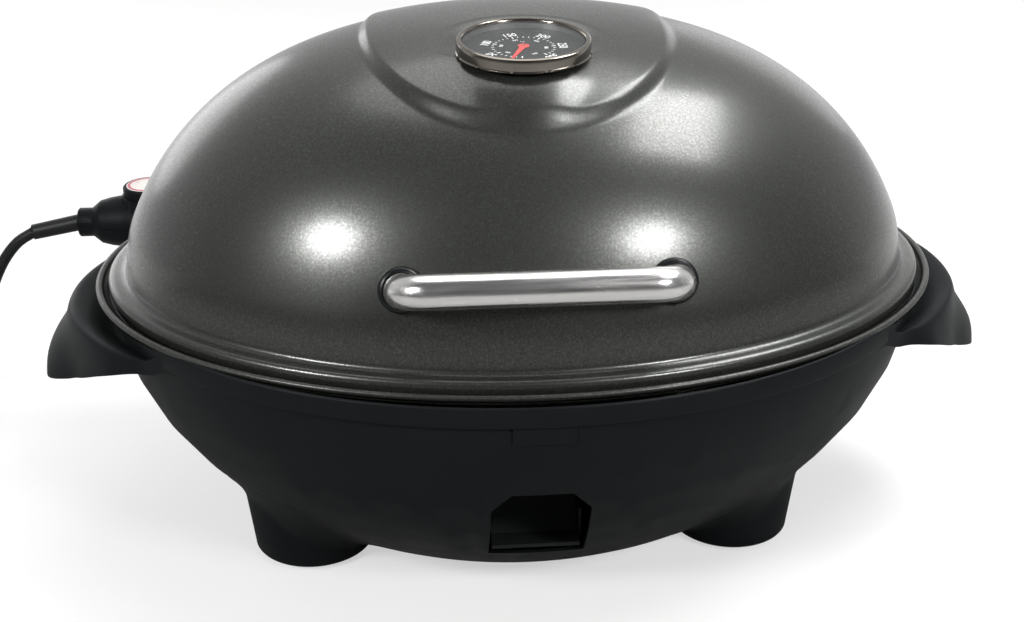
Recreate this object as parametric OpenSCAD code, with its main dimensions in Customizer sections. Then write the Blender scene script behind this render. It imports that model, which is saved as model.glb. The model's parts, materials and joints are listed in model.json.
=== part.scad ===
/* [Grill plate] */
// Half length of the oval grill plate, to the outside of its rolled rim
plate_rx = 263; // [255:1:270]
// Half depth of the grill plate
plate_ry = 193; // [188:1:200]
// Height of the rolled rim of the plate
roll_h = 4.8; // [4:0.2:6]
// Width of the rolled rim
roll_w = 4.6; // [4:0.2:6]
// Width of the seat that the lid stands on
seat_w = 10; // [9:0.5:14]
// Depth of the basin below that seat
basin_depth = 20; // [16:1:24]
// Thickness of the cooking floor
plate_t = 4.5; // [3.5:0.5:6]
// Height of the grill ribs
rib_h = 3; // [2:0.5:5]
// Width of one grill rib
rib_w = 3; // [2:0.5:5]
// Distance from rib to rib
rib_pitch = 15; // [14:1:24]
// Radius of the hole that the fat runs off through
drain_r = 5; // [4:0.5:5.5]

/* [Frame and grips] */
// How far the plate's rim reaches past the frame at each end
side_overhang = 8; // [6:0.5:9]
// How far the frame stands out in front of the plate's rim
front_ledge = 9.5; // [9:0.5:12]
// Height of the frame's outer band
band_h = 12.6; // [11:0.2:15]
// Wall of the frame and of its grips
frame_wall = 2.5; // [2:0.1:3]
// Radius, seen from above, of the crest of a grip
grip_r = 118.5; // [114:0.5:122]
// How far the skirt of a grip hangs below its crest
grip_drop = 31; // [27:1:38]
// How far the finger tongue of a grip stands out past the crest
tongue_out = 20.5; // [18:0.5:24]
// How far the finger tongue hangs below the crest
tongue_drop = 45; // [38:1:46]
// Half angle that the finger tongue spans
tongue_half = 17; // [10:1:20]

/* [Bowl] */
// Height of the bowl's top edge above the table
bowl_top_z = 154.9; // [148:0.1:162]
// Wall of the bowl
bowl_wall = 2.6; // [2:0.1:3.2]
// Height of the bowl's flat bottom above the table
bowl_bottom_z = 8; // [7:0.5:12]
// Distance of each leg from the middle, left and right
leg_x = 134.5; // [128:0.5:138]
// Distance of each leg from the middle, front and back
leg_y = 57; // [52:1:60]
// Radius of a leg at its foot
leg_r1 = 33; // [30:1:36]
// Radius of a leg where it meets the bowl
leg_r2 = 38; // [36:1:41]
// Radius of the rubber foot
foot_r = 17; // [12:1:22]
// How far the rubber foot stands out below its leg
foot_h = 2.5; // [2:0.5:4]

/* [Grease tray] */
// Half width of the niche that the grease tray comes out of
niche_half = 28; // [25:1:32]
// Height of the niche's sill
niche_z1 = 44; // [42:1:48]
// Height of the niche's top
niche_z2 = 107; // [100:1:110]
// Depth of the tray, top to bottom
tray_h = 34; // [26:1:38]
// Wall of the tray
tray_wall = 1.6; // [1.2:0.1:2.4]
// Sideways clearance of the tray in its channel
tray_gap = 0.5; // [0.3:0.1:1]
// Length of the tray's basin
tray_l = 120; // [100:5:130]

/* [Lid] */
// Height of the lid's dome above its flange seat
dome_h = 157.5; // [150:0.5:165]
// Wall of the lid
lid_wall = 1.5; // [1.2:0.1:2]
// How far the dome's wall stands in from the plate's rim
dome_in = 20; // [18:0.5:24]
// Height of the flange's step
flange_h = 8; // [6:0.5:9]
// Half width of the raised oval on top of the lid
crown_rx = 91; // [80:1:100]
// Half depth of the raised oval on top
crown_ry = 117; // [105:1:124]
// How far the oval is raised at the summit
crown_h = 1.2; // [0.8:0.1:2]
// Opening angle of the lid
lid_open = 80; // [60:5:85]

/* [Handle] */
// Radius of the handle's tube
handle_r = 9.4; // [8:0.2:11]
// Wall of the handle's tube
handle_wall = 1.4; // [1:0.1:2]
// Half the overall width of the handle
handle_half = 82; // [74:1:100]
// Bend radius of the handle's tube, at its middle line
handle_bend = 15; // [12:1:20]
// Distance from the lid to the middle of the handle's bar
handle_reach = 26.5; // [25:0.5:36]
// Height of the handle's feet on the lid
handle_z = 219; // [205:0.5:225]
// Upward tilt of the handle's feet
handle_tilt = 20; // [14:1:24]
// Radius of the black bezel at each foot
cup_r = 12.5; // [12:0.5:15]

/* [Thermometer] */
// Radius of the thermometer's bezel
gauge_r = 38; // [32:1:40]
// Height of the bezel
gauge_h = 8.5; // [7:0.5:11]
// Place of the thermometer in front of the lid's middle
gauge_y = 65; // [62:1:74]
// Forward tilt of the thermometer
gauge_tilt = 4; // [2:0.5:8]
// Length of the probe inside the lid
gauge_probe = 42; // [30:1:60]
// Radius of the probe
gauge_probe_r = 3; // [2:0.5:4]

/* [Hinge] */
// Distance of each hinge from the middle
hinge_x = 70; // [60:1:90]
// Radius of the hinge pin
hinge_pin_r = 3; // [2.5:0.1:4]
// Radial running fit of the pin in the lid's knuckle
pin_fit = 0.05; // [0.02:0.01:0.1]
// Width of the lid's knuckle
knuckle_w = 14; // [10:1:18]
// Thickness of the hinge's steel
hinge_t = 2; // [1.5:0.1:3]

/* [Heating and socket] */
// Radius of the heating rod
rod_r = 3.5; // [3:0.1:4.5]
// Distance of the socket behind the middle
socket_y = 140; // [137:0.5:142]
// Height of the socket above the table
socket_z = 148.5; // [146:0.1:151]
// Half the distance between the two contact pins
pin_half = 6; // [5.5:0.1:6.5]
// Radius of a contact pin
contact_r = 2; // [1.6:0.1:2.2]
// Inner radius of the socket's sleeve
sleeve_r = 10.8; // [10.4:0.1:11]

/* [Controller] */
// Radius of the thermostat's barrel
barrel_r = 19.3; // [18:0.1:21]
// Length of the barrel
barrel_l = 84; // [80:1:92]
// Wall of the barrel
barrel_wall = 2.2; // [1.8:0.1:3]
// Radius of the temperature dial
dial_r = 17.5; // [14:0.5:18]
// Height of the temperature dial
dial_h = 7; // [4:0.5:9]
// Angle that the dial turns through
dial_turn = 270; // [180:10:300]

/* [Cord] */
// Diameter of the cord
cord_d = 8; // [6:0.5:9]
// Middle radius of the put-away coil
coil_r = 46; // [42:1:52]

/* [Hidden] */

// Clearances shared by the pieces that fit together
gap = 0.3;
slip = 0.2;
fit = 0.05;
eps = 0.01;
above = 300;
seam = 0.1;
smooth = 96;

// Ovals: the plate and lid share one ratio, the frame and bowl another
frame_rx = plate_rx - side_overhang;
frame_ry = plate_ry + front_ledge;
plate_k = plate_ry / plate_rx;
frame_k = frame_ry / frame_rx;

// Heights, from the table up
frame_top_z = bowl_top_z + band_h;
ledge_z = frame_top_z - 4.8;
lip_z = frame_top_z - 3.1;
plate_under_z = lip_z + gap;
plate_top_z = plate_under_z + roll_h;
seat_z = plate_under_z + 1.8;
floor_z = seat_z - basin_depth;
floor_under_z = floor_z - plate_t;
rod_z = floor_under_z - rod_r - gap;
flange_z = seat_z + gap;

// Radii along the long axis
roll_in = plate_rx - roll_w;
seat_in = roll_in - seat_w;
opening_r = seat_in - 7;
lip_r = opening_r + frame_wall;
dome_r0 = plate_rx - dome_in;
flange_r = roll_in - 3.5;
bowl_rx = frame_rx - 3.9;
bowl_in_r = bowl_rx - bowl_wall;

// Curve of the bowl: a superellipse that the flat bottom cuts off
bowl_m = 1.88;
bowl_drop = bowl_top_z + 23.8;
function bowl_z(r) = bowl_top_z - bowl_drop * pow(1 - pow(r / bowl_rx, bowl_m), 1 / bowl_m);
function bowl_r(z) = bowl_rx * pow(1 - pow(max(bowl_top_z - z, 0) / bowl_drop, bowl_m), 1 / bowl_m);

// Curve of the dome: a superellipse with a short upright wall at its foot
dome_m = 2.525;
dome_low = 87;
dome_span = dome_h + dome_low;
dome_a = dome_r0 * 1.06;
dome_top_z = flange_z + dome_h;
function dome_t(z) = (z - flange_z + dome_low) / dome_span;
function dome_r(z) = min(dome_r0, dome_a * pow(max(1 - pow(dome_t(z), dome_m), 0), 1 / dome_m));
function dome_z(r) = flange_z - dome_low + dome_span * pow(1 - pow(r / dome_a, dome_m), 1 / dome_m);
function dome_slope(z) = (dome_r(z + 1) - dome_r(z - 1)) / 2;
function dome_y(x, z) = plate_k * sqrt(pow(dome_r(z), 2) - x * x);

// Polyline moved to its right by a distance
function side(p, q) = [q[1] - p[1], p[0] - q[0]] / norm(q - p);
function corner(pts, i) = let(a = side(pts[max(i - 1, 0)], pts[max(i, 1)]),
  b = side(pts[min(i, len(pts) - 2)], pts[min(i + 1, len(pts) - 1)]), c = a + b) c / (0.5 * (c * c));
function moved(pts, d) = [for (i = [0:len(pts) - 1]) pts[i] + d * corner(pts, i)];

// Points round a superellipse, for the raised oval
function oval(a, b, n, steps) = [for (i = [0:steps - 1]) let(t = i * 360 / steps, c = cos(t), s = sin(t))
  [a * sign(c) * pow(abs(c), 2 / n), b * sign(s) * pow(abs(s), 2 / n)]];

// An outline turned about the upright axis and squeezed in depth, in four quarters
module oval_turn(k) {
  for (i = [0:3])
    scale([1, k, 1])
      rotate([0, 0, 90 * i])
        rotate_extrude(angle = 90, $fn = smooth)
          children();
}

module mirror_x() {
  children();
  mirror([1, 0, 0])
    children();
}

module four(x, y) {
  for (sx = [-1, 1], sy = [-1, 1])
    translate([sx * x, sy * y, 0])
      children();
}

// A cylinder that lies along X from x1 to x2
module bar_x(r, x1, x2, y = 0, z = 0) {
  translate([x1, y, z])
    rotate([0, 90, 0])
      cylinder(r = r, h = x2 - x1, $fn = 48);
}

// A pan-headed screw that points down from the origin
module screw(r, l, head_r, head_h) {
  translate([0, 0, -l])
    cylinder(r = r, h = l + eps, $fn = 32);
  cylinder(r = head_r, h = head_h, $fn = 48);
}

// ---------------------------------------------------------------- bowl
bowl_steps = [0, 6, 14, 26, 42, 62, 86, 112, 132];
bowl_line = concat([for (s = bowl_steps) [bowl_r(bowl_bottom_z + s), bowl_bottom_z + s]],
  [[bowl_rx, bowl_top_z]]);
bowl_inner = moved(bowl_line, -bowl_wall);
leg_z = foot_h;
leg_h = 52;
post_x = round(0.669 * bowl_rx);
post_y = round(0.257 * frame_ry);
post_r = 6;
post_z = bowl_z(norm([post_x, post_y / frame_k]) + post_r + 0.5);
shield_z = 112;
channel_z = niche_z1 - 0.5;
channel_t = 1.5;
channel_y1 = -frame_k * bowl_r(channel_z) + 12;
channel_y2 = channel_y1 + tray_l + 26;
channel_post_y = [channel_y1 + 18, channel_y1 + 98];
channel_post_r = 5;
channel_post_x = niche_half - 10;
window_half = 15;
window_h = 7;
housing_x1 = -frame_rx + 50;
housing_x2 = housing_x1 + 45.5;
housing_half = 16;
housing_z1 = socket_z - sleeve_r - 2.5;
housing_z2 = plate_under_z - gap;

module bowl_outside() {
  oval_turn(frame_k)
    polygon(concat([[0, bowl_bottom_z]], bowl_line, [[0, bowl_top_z]]));
  four(leg_x, leg_y)
    translate([0, 0, leg_z])
      cylinder(r1 = leg_r1, r2 = leg_r2, h = leg_h, $fn = 64);
}

module bowl_inside() {
  oval_turn(frame_k)
    polygon(concat([[0, bowl_bottom_z + bowl_wall]], bowl_inner,
      [[bowl_in_r, bowl_top_z + 1], [0, bowl_top_z + 1]]));
  four(leg_x, leg_y)
    translate([0, 0, leg_z + bowl_wall])
      cylinder(r1 = leg_r1 - bowl_wall, r2 = leg_r2 - bowl_wall, h = leg_h, $fn = 64);
}

module niche(depth) {
  w = niche_half;
  translate([0, -frame_ry, 0])
    rotate([90, 0, 0])
      mirror([0, 0, 1])
        linear_extrude(depth)
          polygon([[-w, niche_z1], [w, niche_z1], [w, niche_z2 - 13], [w - 11, niche_z2],
            [11 - w, niche_z2], [-w, niche_z2 - 13]]);
}

module housing_block(grow) {
  translate([housing_x1 - grow, socket_y - housing_half - grow, housing_z1 - grow])
    cube([housing_x2 - housing_x1 + 2 * grow, 2 * housing_half + 2 * grow,
      housing_z2 - housing_z1 + 2 * grow]);
}

module snap_block(grow, y1, y2) {
  for (s = [-1, 1])
    translate([-window_half - grow, min(s * y1, s * y2), bowl_top_z - window_h - grow])
      cube([2 * window_half + 2 * grow, abs(y2 - y1), window_h + grow]);
}

module base_bowl() {
  color("#23272b")
  difference() {
    union() {
      difference() {
        bowl_outside();
        bowl_inside();
      }
      four(post_x, post_y)
        translate([0, 0, post_z])
          cylinder(r = post_r, h = shield_z - gap - post_z, $fn = 32);
      for (y = channel_post_y, s = [-1, 1])
        let(z = max(bowl_bottom_z, bowl_z(norm([channel_post_x, y / frame_k]) + channel_post_r)) + 1)
          translate([s * channel_post_x, y, z])
            cylinder(r = channel_post_r, h = channel_z - gap - z, $fn = 32);
    }
    niche(frame_ry - 130);
    housing_block(gap);
    snap_block(slip, 0.93 * frame_ry, frame_ry + 1);
    four(leg_x, leg_y)
      translate([0, 0, -1])
        cylinder(r = 4, h = leg_z + bowl_wall + 2, $fn = 32);
    four(post_x, post_y)
      translate([0, 0, shield_z - 14])
        cylinder(r = 1.6, h = 20, $fn = 24);
    for (y = channel_post_y, s = [-1, 1])
      translate([s * channel_post_x, y, channel_z - 10])
        cylinder(r = 1.6, h = 20, $fn = 24);
  }
}

module rubber_feet() {
  color("#1b1b1b")
  four(leg_x, leg_y) {
    cylinder(r = foot_r, h = foot_h - slip, $fn = 64);
    cylinder(r = 3.9, h = foot_h + bowl_wall + 1.5, $fn = 32);
    translate([0, 0, foot_h + bowl_wall + slip])
      cylinder(r1 = 5.5, r2 = 3.9, h = 3, $fn = 32);
  }
}

// --------------------------------------------------------------- frame
skirt_z = bowl_top_z - 12;
skirt_out = bowl_r(skirt_z - 3) - bowl_wall - gap;
skirt_in = skirt_out - frame_wall;
grip_cx = frame_rx - 95;
grip_top = frame_top_z - 11.5;
grip_foot = grip_top - grip_drop;
tongue_z = grip_top - tongue_drop;
boss_half = 13;
grip_root = 1.6;
boss_y1 = plate_ry - 3;
boss_y2 = frame_ry + 2;
hinge_y = frame_ry + 8.5;
hinge_z = frame_top_z + 7.7;

module frame_ring() {
  oval_turn(frame_k)
    polygon([[bowl_rx + 0.8, bowl_top_z], [frame_rx - 0.8, bowl_top_z + 1.2], [frame_rx, frame_top_z - 1],
      [frame_rx - 0.8, frame_top_z], [frame_rx - frame_wall, frame_top_z],
      [frame_rx - frame_wall - 0.8, ledge_z], [opening_r - 20, ledge_z],
      [opening_r - 20, ledge_z - frame_wall], [skirt_in, ledge_z - frame_wall], [skirt_in, skirt_z],
      [skirt_out, skirt_z], [skirt_out, bowl_top_z]]);
}

module lip_ring() {
  oval_turn(plate_k)
    polygon([[opening_r, ledge_z - frame_wall], [lip_r, ledge_z - frame_wall], [lip_r, lip_z],
      [opening_r, lip_z]]);
}

module grip_turn(half_angle) {
  translate([grip_cx, 0, 0])
    rotate([0, 0, -half_angle])
      rotate_extrude(angle = 2 * half_angle, $fn = smooth)
        children();
}

// The skirt is open below its middle and closed by a sloping web at each end
web_y = 56;
web_lean = 29;
web_t = 2.5;

module grip_web_place(s) {
  translate([grip_cx, s * web_y, grip_foot])
    rotate([s * web_lean, 0, 0])
      children();
}

module grip_trim() {
  for (s = [-1, 1])
    grip_web_place(s)
      translate([0, s > 0 ? 0 : -120, -80])
        cube([200, 120, 80]);
}

module grip_web() {
  r = grip_r;
  difference() {
    intersection() {
      grip_turn(72)
        polygon([[r - 70, grip_foot - 1], [r + 8, grip_foot - 1], [r + 5.5, grip_top - 18],
          [r + 3, grip_top - 6.4], [r - 2, grip_top - 3], [r - 7, grip_top - 6.5],
          [r - 15, grip_top - 9], [r - 70, grip_top - 9]]);
      for (s = [-1, 1])
        grip_web_place(s)
          translate([0, s > 0 ? 0 : -90, 0])
            cube([160, 90, web_t]);
    }
    oval_turn(frame_k)
      polygon([[0, 0], [bowl_rx + gap, 0], [bowl_rx + gap, above], [0, above]]);
  }
}

// The band hangs a little lower where a grip joins it
module grip_lip() {
  intersection() {
    oval_turn(frame_k)
      polygon([[bowl_rx + gap, grip_top - 13], [frame_rx - 1, grip_top - 13],
        [frame_rx - 1, bowl_top_z + 2], [bowl_rx + gap, bowl_top_z + 2]]);
    mirror_x()
      for (w = [[88, grip_top - 13], [106, grip_top - 6]])
        translate([frame_rx - 60, -w[0], w[1]])
          cube([80, 2 * w[0], 40]);
  }
}

module grip() {
  r = grip_r;
  t = frame_wall;
  difference() {
    grip_turn(72)
      polygon([[r - 24, grip_top - 6.5], [r - 15, grip_top - 8], [r - 7, grip_top - 5],
        [r - 2, grip_top - 0.6], [r, grip_top], [r + 1.8, grip_top - 1.2], [r + 3.4, grip_top - 6],
        [r + 6, grip_top - 18], [r + 8.5, grip_foot], [r + 8.5 - t, grip_foot],
        [r + 6 - t, grip_top - 18], [r + 3.6 - t, grip_top - 7], [r - 1.8, grip_top - 4],
        [r - 6.6, grip_top - 5 - t], [r - 15, grip_top - 8 - t], [r - 24, grip_top - 6.5 - t]]);
    grip_trim();
    oval_turn(frame_k)
      polygon([[0, 0], [frame_rx - grip_root, 0], [frame_rx - grip_root, above], [0, above]]);
  }
  grip_web();
  grip_turn(tongue_half)
    polygon([[r + 5, grip_top - 16], [r + 10, grip_top - 19], [r + tongue_out - 6, grip_top - 24],
      [r + tongue_out - 1.5, grip_top - 31], [r + tongue_out, tongue_z],
      [r + tongue_out - t, tongue_z], [r + tongue_out - 1.5 - t, grip_top - 31.5],
      [r + tongue_out - 7.5, grip_top - 26.5], [r + 9, grip_top - 21.5], [r + 5, grip_top - 19.5]]);
}

module rim_frame() {
  color("#262b30")
  difference() {
    union() {
      frame_ring();
      lip_ring();
      grip_lip();
      mirror_x()
        grip();
      housing_block(0);
      snap_block(0, frame_k * skirt_out - 1, frame_k * bowl_rx - 0.4);
      mirror_x()
        translate([hinge_x - boss_half, boss_y1, bowl_top_z + eps])
          cube([2 * boss_half, boss_y2 - boss_y1, band_h - eps]);
    }
    oval_turn(plate_k)
      polygon([[0, 0], [opening_r, 0], [opening_r, lip_z], [plate_rx + 2 * gap, lip_z],
        [plate_rx + 2 * gap, above], [0, above]]);
    bar_x(sleeve_r + 1.4 + fit, housing_x1 - 1, housing_x2 + 8, socket_y, socket_z);
    mirror_x()
      for (s = [-1, 1])
        translate([hinge_x + s * bracket_screw_x, bracket_screw_y, frame_top_z - 9])
          cylinder(r = 1.7, h = 12, $fn = 24);
  }
}

// -------------------------------------------------- inside of the base
shield_t = 1;
shield_hole = 30;
shield_r = round(bowl_r(shield_z)) - 48;

module heat_shield() {
  color("#b9bcc0")
  difference() {
    oval_turn(frame_k)
      polygon([[shield_hole, shield_z], [shield_r, shield_z], [shield_r + 28, shield_z + 12],
        [shield_r + 27.6, shield_z + 12 + 1.1 * shield_t], [shield_r - 0.3, shield_z + shield_t],
        [shield_hole, shield_z + shield_t]]);
    four(post_x, post_y)
      translate([0, 0, shield_z - 1])
        cylinder(r = 2.1, h = 10, $fn = 24);
  }
}

module shield_screws() {
  color("#c8cacc")
  four(post_x, post_y)
    translate([0, 0, shield_z + shield_t + slip])
      screw(1.5, 12, 3.5, 2.2);
}

channel_half = niche_half - 0.3;
channel_h = 22;

module tray_channel() {
  color("#9a9da0")
  difference() {
    translate([-channel_half, channel_y1, channel_z])
      cube([2 * channel_half, channel_y2 - channel_y1, channel_h]);
    translate([-channel_half + channel_t, channel_y1 - 1, channel_z + channel_t])
      cube([2 * (channel_half - channel_t), channel_y2 - channel_y1 - channel_t + 1, channel_h]);
    for (y = channel_post_y, s = [-1, 1])
      translate([s * channel_post_x, y, channel_z - 1])
        cylinder(r1 = 2, r2 = 2, h = 4, $fn = 24);
  }
}

module channel_screws() {
  color("#c8cacc")
  for (y = channel_post_y, s = [-1, 1])
    translate([s * channel_post_x, y, channel_z + channel_t + 0.1])
      screw(1.5, 8, 3, 0.8);
}

// The tray rides above the flat screw heads on two runners
tray_half = channel_half - channel_t - tray_gap;
tray_z = channel_z + channel_t + slip;
tray_y1 = channel_y1 + 22;
tray_y2 = tray_y1 + tray_l;
runner_h = 1.2;

scoop_l = 32;
scoop_y = tray_y1 - scoop_l;

module grease_tray() {
  color("#8f9296")
  difference() {
    union() {
      translate([-tray_half, tray_y1, tray_z + runner_h])
        cube([2 * tray_half, tray_y2 - tray_y1, tray_h]);
      translate([-tray_half, scoop_y, tray_z + runner_h])
        rotate([90, 0, 90])
          linear_extrude(2 * tray_half)
            polygon([[0, 0], [0, 2.4], [scoop_l * 0.3, 4.4], [scoop_l * 0.62, 11], [scoop_l * 0.86, 21],
              [scoop_l, tray_h], [scoop_l + 1, tray_h], [scoop_l + 1, tray_h - 8],
              [scoop_l * 0.92, 20], [scoop_l * 0.69, 9.4], [scoop_l * 0.36, 2.6], [scoop_l * 0.2, 0]]);
      for (s = [-1, 1])
        translate([s * (tray_half - 1.5) - 1.5, tray_y1, tray_z])
          cube([3, tray_l, runner_h + 0.5]);
    }
    translate([-tray_half + tray_wall, tray_y1 + tray_wall, tray_z + runner_h + tray_wall])
      cube([2 * (tray_half - tray_wall), tray_l - 2 * tray_wall, tray_h]);
  }
}

// --------------------------------------------------------------- plate
basin_r0 = opening_r - 3;
basin_r1 = opening_r - 8;
basin_r2 = opening_r - 26;
drain_y = tray_y1 + 0.4 * tray_l;
rib_count = floor((basin_r2 - 12) / rib_pitch);
function rib_len(x) = plate_k * sqrt(pow(basin_r2 - 4, 2) - x * x);
loop_r = 62;
turn_r = pin_half * 2;
loop_x1 = -round(0.455 * basin_r2);
loop_x2 = round(0.348 * basin_r2);
loop_y = -round(plate_k * basin_r2 - 14);
rod_y1 = socket_y - pin_half;
rod_y2 = socket_y + pin_half;
hairpin_y = rod_y1 - 2 * turn_r;
clamp_places = [[loop_x2 + loop_r, 0, 0], [loop_x1 - loop_r, 0, 0], [0, loop_y, 90], [-50, hairpin_y, 90]];
clamp_reach = 12;

module clamp_spots() {
  for (c = clamp_places)
    translate([c[0], c[1], 0])
      rotate([0, 0, c[2]])
        children();
}

boss_x1 = housing_x2 + 7.5;
boss_x2 = boss_x1 + 32;
boss_z1 = rod_z - 6;
boss_z2 = ledge_z - frame_wall - 1.5;
bush_r = 4;

module grill_plate() {
  color("#2c2c2e")
  difference() {
    union() {
      oval_turn(plate_k)
        polygon([[0, floor_z], [basin_r2, floor_z], [basin_r1, seat_z - 6], [basin_r0, seat_z],
          [roll_in - 1, seat_z], [roll_in, plate_top_z - 0.8], [roll_in + 1.2, plate_top_z],
          [plate_rx - 1.4, plate_top_z], [plate_rx, plate_top_z - 1.4], [plate_rx, plate_under_z + 1.2],
          [plate_rx - 1.2, plate_under_z], [opening_r - 0.8, plate_under_z],
          [basin_r1 + 4, seat_z - 8], [basin_r2 + 1.5, floor_under_z], [0, floor_under_z]]);
      difference() {
        translate([boss_x1, socket_y - 11, boss_z1])
          cube([boss_x2 - boss_x1, 22, boss_z2 - boss_z1]);
        oval_turn(plate_k)
          polygon([[0, floor_under_z + 1], [basin_r2 + 1, floor_under_z + 1], [basin_r1 + 2, seat_z - 7],
            [basin_r0 + 2, seat_z + 1], [0, seat_z + 1]]);
      }
      for (i = [0:rib_count - 1], s = [-1, 1])
        let(x = s * (i + 0.5) * rib_pitch)
          translate([x - rib_w / 2, -rib_len(x), floor_z - 1])
            cube([rib_w, 2 * rib_len(x), rib_h + 1]);
      clamp_spots()
        translate([clamp_reach, 0, rod_z - rod_r - slip])
          cylinder(r = 4, h = 2 * rod_r + slip + gap + 1, $fn = 32);
    }
    translate([0, drain_y, floor_under_z - 1])
      cylinder(r = drain_r, h = plate_t + 2, $fn = 48);
    clamp_spots()
      translate([clamp_reach, 0, rod_z - rod_r - 1])
        cylinder(r = 1.6, h = 7, $fn = 24);
    for (s = [-1, 1]) {
      bar_x(rod_r + fit, boss_x2 - 16, boss_x2 + 1, socket_y + s * pin_half, rod_z);
      bar_x(bush_r + fit, boss_x1 - 1, boss_x1 + 9, socket_y + s * pin_half, socket_z);
    }
  }
}

// One heating rod: two cold ends, a long loop and an inner hairpin
rod_x = boss_x2 - 15.5;

module rod_run(x1, y1, x2, y2) {
  l = norm([x2 - x1, y2 - y1]);
  translate([x1, y1, rod_z])
    rotate([0, 0, atan2(y2 - y1, x2 - x1)])
      rotate([0, 90, 0])
        cylinder(r = rod_r, h = l, $fn = 32);
}

module rod_bend(x, y, r, a1, a2) {
  translate([x, y, rod_z])
    rotate([0, 0, a1])
      rotate_extrude(angle = a2 - a1, $fn = 64)
        translate([r, 0])
          circle(r = rod_r, $fn = 32);
}

module heating_element() {
  color("#5b5550")
  union() {
    rod_run(rod_x, rod_y2, loop_x2, rod_y2);
    rod_bend(loop_x2, rod_y2 - loop_r, loop_r, 0, 90);
    rod_run(loop_x2 + loop_r, rod_y2 - loop_r, loop_x2 + loop_r, loop_r + loop_y);
    rod_bend(loop_x2, loop_r + loop_y, loop_r, -90, 0);
    rod_run(loop_x2, loop_y, loop_x1, loop_y);
    rod_bend(loop_x1, loop_r + loop_y, loop_r, 180, 270);
    rod_run(loop_x1 - loop_r, loop_r + loop_y, loop_x1 - loop_r, hairpin_y - loop_r);
    rod_bend(loop_x1, hairpin_y - loop_r, loop_r, 90, 180);
    rod_run(loop_x1, hairpin_y, 20, hairpin_y);
    rod_bend(20, rod_y1 - turn_r, turn_r, -90, 90);
    rod_run(20, rod_y1, rod_x, rod_y1);
  }
}

module element_clamps() {
  color("#b0b2b5")
  difference() {
    clamp_spots()
      translate([-5, -5, rod_z - rod_r - slip - 1.7])
        cube([22, 10, 1.5]);
    clamp_spots()
      translate([clamp_reach, 0, rod_z - rod_r - 4])
        cylinder(r = 2, h = 5, $fn = 24);
  }
}

module clamp_screws() {
  color("#c8cacc")
  clamp_spots()
    translate([clamp_reach, 0, rod_z - rod_r - 2 * slip - 1.7])
      rotate([180, 0, 0])
        screw(1.5, 7, 3.2, 2);
}

module terminal_bushings() {
  color("#e6e1d6")
  difference() {
    for (s = [-1, 1])
      bar_x(bush_r, boss_x1 - 4, boss_x1 + 8.8, socket_y + s * pin_half, socket_z);
    for (s = [-1, 1])
      bar_x(contact_r + fit, boss_x1 - 5, boss_x1 + 7.5, socket_y + s * pin_half, socket_z);
  }
}

pin_tip_x = housing_x1 + 6;

module terminal_pins() {
  color("#d8d4c4")
  for (s = [-1, 1]) {
    bar_x(contact_r, pin_tip_x + 2, boss_x1 + 7.3, socket_y + s * pin_half, socket_z);
    translate([pin_tip_x, socket_y + s * pin_half, socket_z])
      rotate([0, 90, 0])
        cylinder(r1 = contact_r - 1, r2 = contact_r, h = 2 + eps, $fn = 48);
  }
}

module socket_sleeve() {
  color("#c2c4c6")
  difference() {
    union() {
      bar_x(sleeve_r + 1.4, housing_x1 - 1.5, housing_x2 + slip, socket_y, socket_z);
      bar_x(sleeve_r + 3, housing_x1 - 1.5, housing_x1 - slip, socket_y, socket_z);
    }
    bar_x(sleeve_r, housing_x1 - 3, housing_x2 + 3, socket_y, socket_z);
  }
}

// --------------------------------------------------------------- hinge
ear_in = knuckle_w / 2 + slip + 0.2;
ear_r = hinge_pin_r + 3.2;
base_plate_z = frame_top_z + slip;
bracket_screw_x = ear_in - 3.6;
bracket_screw_y = boss_y1 + 6;

module hinge_bracket() {
  difference() {
    union() {
      translate([hinge_x - ear_in - hinge_t, boss_y1 + 1, base_plate_z])
        cube([2 * (ear_in + hinge_t), boss_y2 - boss_y1 - 2, hinge_t]);
      for (s = [-1, 1])
        translate([hinge_x + s * (ear_in + hinge_t / 2) - hinge_t / 2, 0, 0]) {
          translate([0, boss_y1 + 6, base_plate_z])
            cube([hinge_t, hinge_y - boss_y1 - 6, hinge_z - base_plate_z]);
          translate([0, hinge_y, hinge_z])
            rotate([0, 90, 0])
              cylinder(r = ear_r, h = hinge_t, $fn = 48);
        }
    }
    bar_x(hinge_pin_r + 0.02, hinge_x - ear_in - hinge_t - 1, hinge_x + ear_in + hinge_t + 1,
      hinge_y, hinge_z);
    for (s = [-1, 1])
      translate([hinge_x + s * bracket_screw_x, bracket_screw_y, base_plate_z - 1])
        cylinder(r = 2, h = 6, $fn = 24);
    translate([hinge_x - ear_in, hinge_y - ear_r - 0.5, base_plate_z - 5])
      cube([2 * ear_in, 3 * ear_r, 4.9 + hinge_t + 0.2]);
  }
}

module hinge_bracket_left() {
  color("#a9abae")
  mirror([1, 0, 0])
    hinge_bracket();
}

module hinge_bracket_right() {
  color("#a9abae")
  hinge_bracket();
}

module bracket_screws() {
  color("#c8cacc")
  mirror_x()
    for (s = [-1, 1])
      translate([hinge_x + s * bracket_screw_x, bracket_screw_y, base_plate_z + hinge_t + fit])
        screw(1.5, 9, 3, 1.6);
}

module hinge_pins() {
  color("#d0d2d4")
  mirror_x() {
    bar_x(hinge_pin_r, hinge_x - ear_in - hinge_t - 1, hinge_x + ear_in + hinge_t + 1,
      hinge_y, hinge_z);
    for (s = [-1, 1])
      bar_x(hinge_pin_r + 1.6, hinge_x + s * (ear_in + hinge_t + 0.9) - 0.75,
        hinge_x + s * (ear_in + hinge_t + 0.9) + 0.75, hinge_y, hinge_z);
  }
}

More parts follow.
